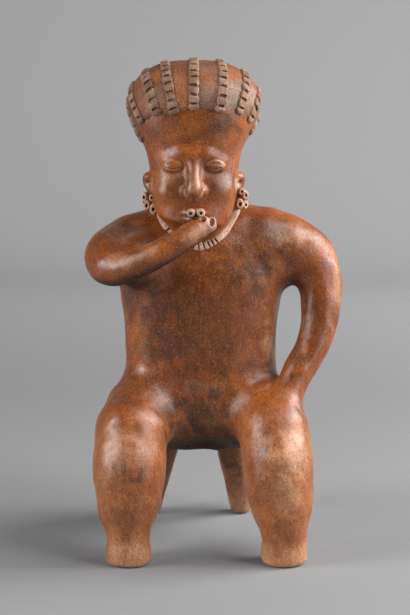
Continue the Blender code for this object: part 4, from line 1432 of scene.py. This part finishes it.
# The stage, in metres: each light's place, and its width and height
LIGHTS = {
    "key": ((1.76, 0.20, 1.20), (1.2, 1.5)),
    "front": ((1.75, -1.15, 0.85), (0.8, 1.2)),
    "fill": ((-1.85, -0.70, 0.90), (0.9, 1.4)),
    "top": ((1.00, -0.60, 1.95), (1.0, 1.0)),
}
LIT_PLACE = (0, 0, 0.25)
SWEEP_FRONT = -6.0  # Y of the floor's front edge
SWEEP_FLAT, SWEEP_BEND, SWEEP_WALL = 7.55, 0.5, 2.4  # floor's length, bend's radius, wall's height
SWEEP_HALF_WIDTH = 5
CAMERA_PLACE = (-0.0107, -1.9593, 0.6268)
CAMERA_TILT = 79  # degrees from looking straight down
CAMERA_LENS = 114.35  # millimetres, on a sensor 36 mm wide


class CLAYFIGURE_OT_stage(bpy.types.Operator):
    """Sets the floor, the lights and the camera"""

    bl_idname = "clay_figure.stage"
    bl_label = "Stage"

    def execute(self, context):
        add_floor()
        for name, (place, size) in LIGHTS.items():
            add_light(name, place, size, getattr(context.scene.stage_light, name))
        add_camera()
        context.scene.view_settings.view_transform = "Standard"
        return {"FINISHED"}


def add_floor():
    """A grey sweep: a level floor that turns up into a backdrop on a quarter circle, painted paler towards
    the back as painted light.
    """
    arc = SWEEP_BEND * np.pi / 2
    length = np.linspace(0, SWEEP_FLAT + arc + SWEEP_WALL, 160)
    angle = np.clip((length - SWEEP_FLAT) / SWEEP_BEND, 0, np.pi / 2)
    y = SWEEP_FRONT + np.minimum(length, SWEEP_FLAT) + SWEEP_BEND * np.sin(angle)
    z = SWEEP_BEND * (1 - np.cos(angle)) + np.maximum(length - SWEEP_FLAT - arc, 0)
    across = np.linspace(-SWEEP_HALF_WIDTH, SWEEP_HALF_WIDTH, 40)
    rows = (np.tile(across, len(length)), np.repeat(y, len(across)), np.repeat(z, len(across)))
    points = np.stack(rows, axis=1)
    mesh = bpy.data.meshes.new("sweep")
    mesh.from_pydata(points, [], grid_faces(len(length), len(across))[:, ::-1])
    mesh.shade_smooth()
    material = bpy.data.materials.new("sweep_paper")
    material.use_nodes = True
    nodes = material.node_tree.nodes
    shader, paper = nodes["Principled BSDF"], nodes.new("ShaderNodeAttribute")
    shader.inputs["Roughness"].default_value = 0.9
    paper.attribute_name = "paper"
    material.node_tree.links.new(paper.outputs["Color"], shader.inputs["Base Color"])
    mesh.materials.append(material)
    floor = bpy.data.objects.new("sweep", mesh)
    bpy.context.scene.collection.objects.link(floor)
    back = points[:, 1]
    # painted light: the paper is brightened towards the backdrop, with a painted band of light about 1.5 m
    # back
    painted_backdrop_light = 1 + 0.48 * ramp(back, 0.55, 1.35) + 0.20 * np.exp(-(((back - 1.5) / 0.35) ** 2))
    paint(floor, "paper", painted_backdrop_light[:, None] * np.array(bpy.context.scene.stage_light.paper))


def add_light(name, place, size, watts):
    """A flat soft light, wide by tall, that looks at the figure's middle."""
    light = bpy.data.lights.new(name, "AREA")
    light.shape = "RECTANGLE"
    light.size, light.size_y = size
    light.energy = watts
    lamp = bpy.data.objects.new(name, light)
    lamp.location = place
    lamp.rotation_euler = (Vector(LIT_PLACE) - Vector(place)).to_track_quat("-Z", "Y").to_euler()
    bpy.context.scene.collection.objects.link(lamp)


def add_camera():
    """The viewpoint: two metres in front, a little above, looking down at the figure's middle."""
    view = bpy.data.cameras.new("viewpoint")
    view.lens = CAMERA_LENS
    view.sensor_width = 36.0
    view.dof.use_dof = False
    camera = bpy.data.objects.new("viewpoint", view)
    camera.location = CAMERA_PLACE
    camera.rotation_euler = (math.radians(CAMERA_TILT), 0, 0)
    bpy.context.scene.collection.objects.link(camera)
    bpy.context.scene.camera = camera


OPERATORS = (
    CLAYFIGURE_OT_body,
    CLAYFIGURE_OT_head,
    CLAYFIGURE_OT_hair,
    CLAYFIGURE_OT_braids,
    CLAYFIGURE_OT_necklace,
    CLAYFIGURE_OT_pellets,
    CLAYFIGURE_OT_stage,
)
GROUPS = {"clay_sizes": ClaySizes, "clay_colours": ClayColours, "stage_light": StageLight}


class CLAYFIGURE_PT_panel(bpy.types.Panel):
    """Builds the figure's pieces and sets their sizes, colours and light"""

    bl_idname = "CLAYFIGURE_PT_panel"
    bl_label = "Clay figure"
    bl_space_type = "VIEW_3D"
    bl_region_type = "UI"
    bl_category = "Clay figure"

    def draw(self, context):
        for operator in OPERATORS:
            self.layout.operator(operator.bl_idname)
        for group in GROUPS:
            box = self.layout.box()
            box.label(text=GROUPS[group].__doc__)
            settings = getattr(context.scene, group)
            for name in settings.__annotations__:
                box.prop(settings, name)


CLASSES = (*GROUPS.values(), *OPERATORS, CLAYFIGURE_PT_panel)


def register():
    for cls in CLASSES:
        bpy.utils.register_class(cls)
    for name, group in GROUPS.items():
        setattr(bpy.types.Scene, name, PointerProperty(type=group))


def unregister():
    for name in GROUPS:
        delattr(bpy.types.Scene, name)
    for cls in reversed(CLASSES):
        bpy.utils.unregister_class(cls)


def main():
    register()
    for operator in OPERATORS:
        group, name = operator.bl_idname.split(".")
        getattr(getattr(bpy.ops, group), name)()


if __name__ == "__main__":
    main()
